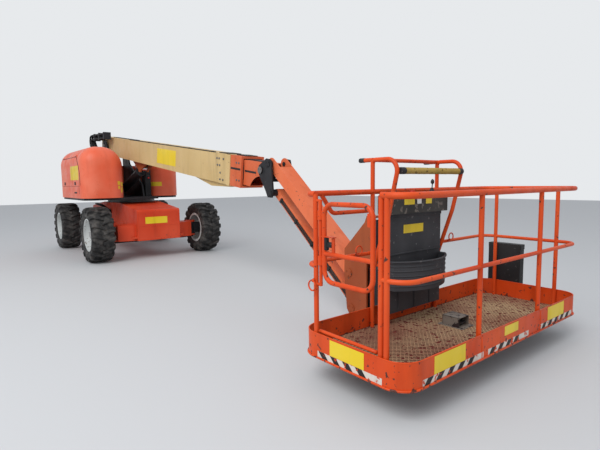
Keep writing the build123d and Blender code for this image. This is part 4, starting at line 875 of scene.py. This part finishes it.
# Platform floor: expanded steel mesh, slit and stretched from sheet, on its plate. Boots have worn it
# brown. The plate between is near black: dark asphalt seen through the mesh, with painted shade from the
# platform over it.
# Near-black plate: dark asphalt and painted shade, for the ground seen through the mesh's holes.
plate_painted_shade = paint(
    "plate_painted_shade", (0.075, 0.018, 0.014), (0.085, 0.050, 0.030), (0.15, 0.020, 0.018),
    gloss=0.6, chip_from=0.6)
strand_paint = paint(
    "strand_paint", (0.30, 0.110, 0.070), (0.62, 0.44, 0.26), (0.16, 0.030, 0.024),
    gloss=0.45, chip_from=0.57)
dress(plate_painted_shade, "platform_floor")
strand_length, strand_pitch, strand_width, strand_rise = 0.040, 0.0165, 0.0026, 0.0035
strand_sway = 0.4 * strand_pitch
floor_low, floor_high, floor_top, mesh_corner = (7.352, -1.200), (8.222, 1.200), 0.2262, 0.136
strand_section = ((-strand_width, 0), (-strand_width * 0.3, strand_rise))
strand_section += ((strand_width * 0.5, strand_rise), (strand_width, 0))
points, faces = [], []
rows = int((floor_high[0] - floor_low[0]) / strand_pitch)
columns = int((floor_high[1] - floor_low[1]) / strand_length * 2)
for i in range(rows):
    first = len(points)
    kept = 0
    for k in range(columns + 1):
        x = floor_low[0] + (i + 0.5) * strand_pitch + (strand_sway if (k + i) % 2 else -strand_sway)
        y = floor_low[1] + k * strand_length / 2
        edge_x = min(x - platform_low.x, platform_high.x - x)
        edge_y = platform_half_width - abs(y)
        in_corner = edge_x < platform_corner and edge_y < platform_corner
        if in_corner and math.hypot(platform_corner - edge_x, platform_corner - edge_y) > mesh_corner:
            continue
        kept += 1
        for dx, dz in strand_section:
            points.append((x + dx, y, floor_top + dz))
    for k in range(kept - 1):
        a = first + 4 * k
        for j in range(3):
            faces.append((a + j, a + j + 1, a + j + 5, a + j + 4))
        faces.append((a + 3, a, a + 4, a + 7))
    for a, order in ((first, (0, 1, 2, 3)), (first + 4 * (kept - 1), (3, 2, 1, 0))):
        faces.append(tuple(a + j for j in order))
finish_piece("floor_mesh", (points, faces), strand_paint, "platform")

# Rails: bent steel tube. The guard loops end in short stubs with black plastic ends pushed on, and
# three round wire rings for a harness are welded on.
guard_posts_y, guard_z, loop_x = (-0.5, 0.35), 1.551, 7.3583
ring_radius, ring_wire, ring_x = 0.034, 0.0055, loop_x + 0.046
stubs, ends = ([], []), ([], [])
for y in guard_posts_y:
    prism(stubs, (loop_x - 0.085, y, guard_z), x_way, 0.0168, 0.09, 24)
    prism(ends, (loop_x - 0.135, y, guard_z), x_way, 0.0185, 0.055, 24)
finish_piece("guard_stubs", stubs, platform_paint, "platform")
finish_piece("guard_ends", ends, black_plastic, "platform", 0.003)
shape = [], []
for centre, axis in (
    ((7.482, -1.232, 0.700), "y"),
    ((ring_x, -0.70, 0.870), "x"),
    ((ring_x, 0.52, 0.870), "x"),
):
    loop = []
    for k in range(29):
        a = 2 * math.pi * k / 28
        across, up = ring_radius * math.cos(a), ring_radius * math.sin(a)
        loop.append(Vector(centre) + Vector((across, 0, up) if axis == "y" else (0, across, up)))
    hose(shape, loop, (ring_wire,), 10)
    toward = Vector((0, 0.018, 0.030)) if axis == "y" else Vector((-0.024, 0, -0.030))
    lug_start = Vector(centre) + toward * 0.2 + Vector((0, 0, toward.z * 0.8))
    hose(shape, [lug_start, Vector(centre) + toward * 1.2], (0.011,), 10)
finish_piece("harness_rings", shape, platform_paint, "platform", smooth=True)

# Guard bar: a steel bar between the guard loops, in a grimy yellow sleeve of soft foam that is lumpy
# from use and gripped at its ends by black tape.
pad_foam = paint(
    "pad_foam", (0.36, 0.23, 0.045), (0.46, 0.32, 0.09), (0.13, 0.08, 0.02),
    gloss=0.8, chip_from=0.62, peel=0.5)
bar_at = Vector((7.6083, 0, 1.462))
bar_from, bar_to = -0.482, 0.332
sleeve_radius, sleeve_lump, sleeve_end_round, sleeve_inset = 0.0250, 0.0012, 0.004, 0.045
sleeve_steps = 120
sleeve_length = bar_to - bar_from - 2 * sleeve_inset
shape = [], []
line, swell = [], []
for k in range(sleeve_steps + 1):
    line.append(bar_at + Vector((0, bar_from + sleeve_inset + sleeve_length * k / sleeve_steps, 0)))
    lump = sleeve_lump * noise.noise(Vector((k * 0.11, 3.1, 0)))
    swell.append(sleeve_radius + lump - (sleeve_end_round if k in (0, sleeve_steps) else 0))
hose(shape, line, swell, 28)
foam = finish_piece("guard_foam", shape, pad_foam, "platform", smooth=True)
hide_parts("guard_bar")
shape = [], []
for y in (bar_from, bar_to - 0.050):
    prism(shape, bar_at + Vector((0, y, 0)), (0, 1, 0), 0.0262, 0.050, 28)
finish_piece("guard_tape", shape, black_plastic, "platform", 0.002)

# Gate: a loop of round steel tube that swings inward on a rod. It bears on a rubber block and a flat
# link at its hinge, and has a small latch plate at its front.
gate_y = -1.1937
shape = [], []
block(shape, (7.556, gate_y - 0.012, 0.945), (7.600, gate_y + 0.012, 1.025))
block(shape, (7.600, gate_y - 0.009, 0.965), (7.640, gate_y + 0.009, 1.000))
finish_piece("gate_rubber", shape, black_plastic, "gate", 0.003)
shape = [], []
block(shape, (7.548, gate_y - 0.016, 1.030), (7.665, gate_y + 0.016, 1.036))
block(shape, (7.640, gate_y - 0.005, 0.925), (7.664, gate_y + 0.005, 1.030))
block(shape, (7.952, gate_y - 0.014, 1.120), (7.976, gate_y + 0.014, 1.200))
finish_piece("gate_link", shape, platform_paint, "gate", 0.0015)

# Console: a charcoal moulding with a folded skirt, a deep tray with ridges and a rolled lip, and the
# upper control box with two joysticks, toggles and a stop button. Its small plates are blank.
charcoal = paint(
    "charcoal_moulding", (0.032, 0.033, 0.037), (0.056, 0.057, 0.062), (0.12, 0.12, 0.12),
    gloss=0.5, streaks=0.15)
grimy_black = paint(
    "grimy_black", (0.018, 0.018, 0.018), (0.075, 0.070, 0.062), (0.16, 0.14, 0.12),
    gloss=0.6, chip_from=0.58)
dress(charcoal, "console")
dress(grimy_black, "control_box")
console_x, console_middle = 7.4556, -0.09


def tray_path(grow, z):
    """Points along the tray's outer side from one flank to the other."""
    half, flank, reach = 0.34 + grow, 0.060, 0.190 + grow
    sag = reach - flank
    radius = (half * half + sag * sag) / (2 * sag)
    wide = math.asin(half / radius)
    path = [Vector((console_x + 0.004, console_middle - half, z))]
    for k in range(25):
        a = -wide + 2 * wide * k / 24
        lip_x = console_x + reach - radius + radius * math.cos(a)
        path.append(Vector((lip_x, console_middle + radius * math.sin(a), z)))
    path.append(Vector((console_x + 0.004, console_middle + half, z)))
    return path


shape = [], []
for z in (0.565, 0.605, 0.645, 0.685, 0.722):
    hose(shape, tray_path(0.0005, z), (0.0050,), 8)
hose(shape, tray_path(0.006, 0.7585), (0.0085,), 10)
block(shape, (7.4450, -0.452, 0.800), (7.4640, 0.272, 0.812))
block(shape, (7.4450, -0.452, 1.100), (7.4620, 0.272, 1.1295))
for y in (-0.30, -0.09, 0.12):
    block(shape, (7.4555, y - 0.006, 0.335), (7.4615, y + 0.006, 0.500))
finish_piece("console_mouldings", shape, charcoal, "platform", 0.002)
box_x = 7.5159
console_plates = [forward_oblong(7.4560, -0.24, 0.02, 0.965, 1.035)]
console_plates += [forward_oblong(box_x, y0, y1, 1.200, 1.245) for y0, y1 in ((-0.31, -0.18), (-0.03, 0.05))]
sheets("console_plates", console_plates, 0.0012, yellow_plate, "platform", 0.0004)
white_label = forward_oblong(box_x, -0.145, -0.090, 1.203, 1.242)
sheets("box_label", [white_label], 0.0012, white_plate, "platform", 0.0004)
shape = [], []
stick_top = 1.2803
for y in (-0.34, 0.16):
    base = Vector((7.440, y, stick_top))
    block(shape, (7.400, y - 0.042, stick_top), (7.480, y + 0.042, stick_top + 0.004))
    ribs = [0.030, 0.0225, 0.0265, 0.019, 0.0225, 0.0155, 0.0185, 0.0125, 0.0145, 0.009]
    hose(shape, [base + Vector((0, 0, 0.004 + 0.0045 * k)) for k in range(10)], ribs, 20)
    hose(shape, [base + Vector((0, 0, 0.040)), base + Vector((0.004, 0, 0.085))], (0.0045,), 10)
    knob = [0.0070, 0.0125, 0.0150, 0.0155, 0.0150, 0.0130, 0.0095, 0.0040]
    hose(shape, [base + Vector((0.004, 0, 0.078 + 0.0060 * k)) for k in range(8)], knob, 18)
finish_piece("joysticks", shape, black_plastic, "platform", smooth=True)
shape = [], []
for k in range(6):
    y = -0.255 + 0.065 * k
    prism(shape, (7.492, y, stick_top), (0, 0, 1), 0.0065, 0.004, 12)
    prism(shape, (7.492, y, stick_top + 0.004), (0.3, 0, 1), 0.0028, 0.016, 8)
finish_piece("box_toggles", shape, oiled_steel, "platform")
shape = [], []
prism(shape, (7.432, -0.10, stick_top), (0, 0, 1), 0.012, 0.014, 20)
prism(shape, (7.432, -0.10, stick_top + 0.014), (0, 0, 1), 0.022, 0.012, 28)
finish_piece("stop_button", shape, stop_red, "platform", 0.003)

# Document box: a black moulding with a lid, hung outside the far end. Foot switch: a steel shoe with
# an open front, over a rubber pedal.
dress(black_plastic, "document_box")
box_low, box_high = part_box("document_box")
shape = [], []
lid_low = (box_low.x - 0.004, box_low.y + 0.002, box_high.z - 0.045)
lid_high = (box_high.x + 0.004, box_high.y + 0.004, box_high.z + 0.004)
block(shape, lid_low, lid_high)
clasp_low = (box_low.x + 0.14, box_high.y + 0.0045, box_high.z - 0.075)
clasp_high = (box_high.x - 0.14, box_high.y + 0.010, box_high.z - 0.020)
block(shape, clasp_low, clasp_high)
finish_piece("document_lid", shape, black_plastic, "platform", 0.004)
shoe_steel = paint(
    "shoe_steel", (0.060, 0.035, 0.024), (0.22, 0.19, 0.16), (0.03, 0.02, 0.02), gloss=0.5, chip_from=0.56)
shoe_low, shoe_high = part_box("foot_switch")
shape = [], []
block(shape, (shoe_low.x, shoe_low.y, shoe_low.z), (shoe_high.x, shoe_high.y, shoe_low.z + 0.005))
shoe_back, shoe_mouth = shoe_low.x + 0.03, shoe_high.x - 0.04
shoe_right, shoe_left = shoe_low.y + 0.02, shoe_high.y - 0.020
wall_foot, shoe_top = shoe_low.z + 0.004, shoe_high.z
for back, right, foot, mouth, left in (
    (shoe_back, shoe_right, wall_foot, shoe_mouth, shoe_low.y + 0.024),
    (shoe_back, shoe_high.y - 0.024, wall_foot, shoe_mouth, shoe_left),
    (shoe_back, shoe_right, shoe_top - 0.005, shoe_mouth, shoe_left),
    (shoe_back, shoe_right, wall_foot, shoe_low.x + 0.034, shoe_left),
):
    block(shape, (back, right, foot), (mouth, left, shoe_top))
shoe = finish_piece("foot_shoe", shape, shoe_steel, "platform", 0.001)
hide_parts("foot_switch")
shape = [], []
pedal_low = (shoe_low.x + 0.05, shoe_low.y + 0.035, shoe_low.z + 0.022)
pedal_high = (shoe_high.x - 0.055, shoe_high.y - 0.035, shoe_low.z + 0.034)
block(shape, pedal_low, pedal_high)
finish_piece("foot_pedal", shape, black_plastic, "platform", 0.002)
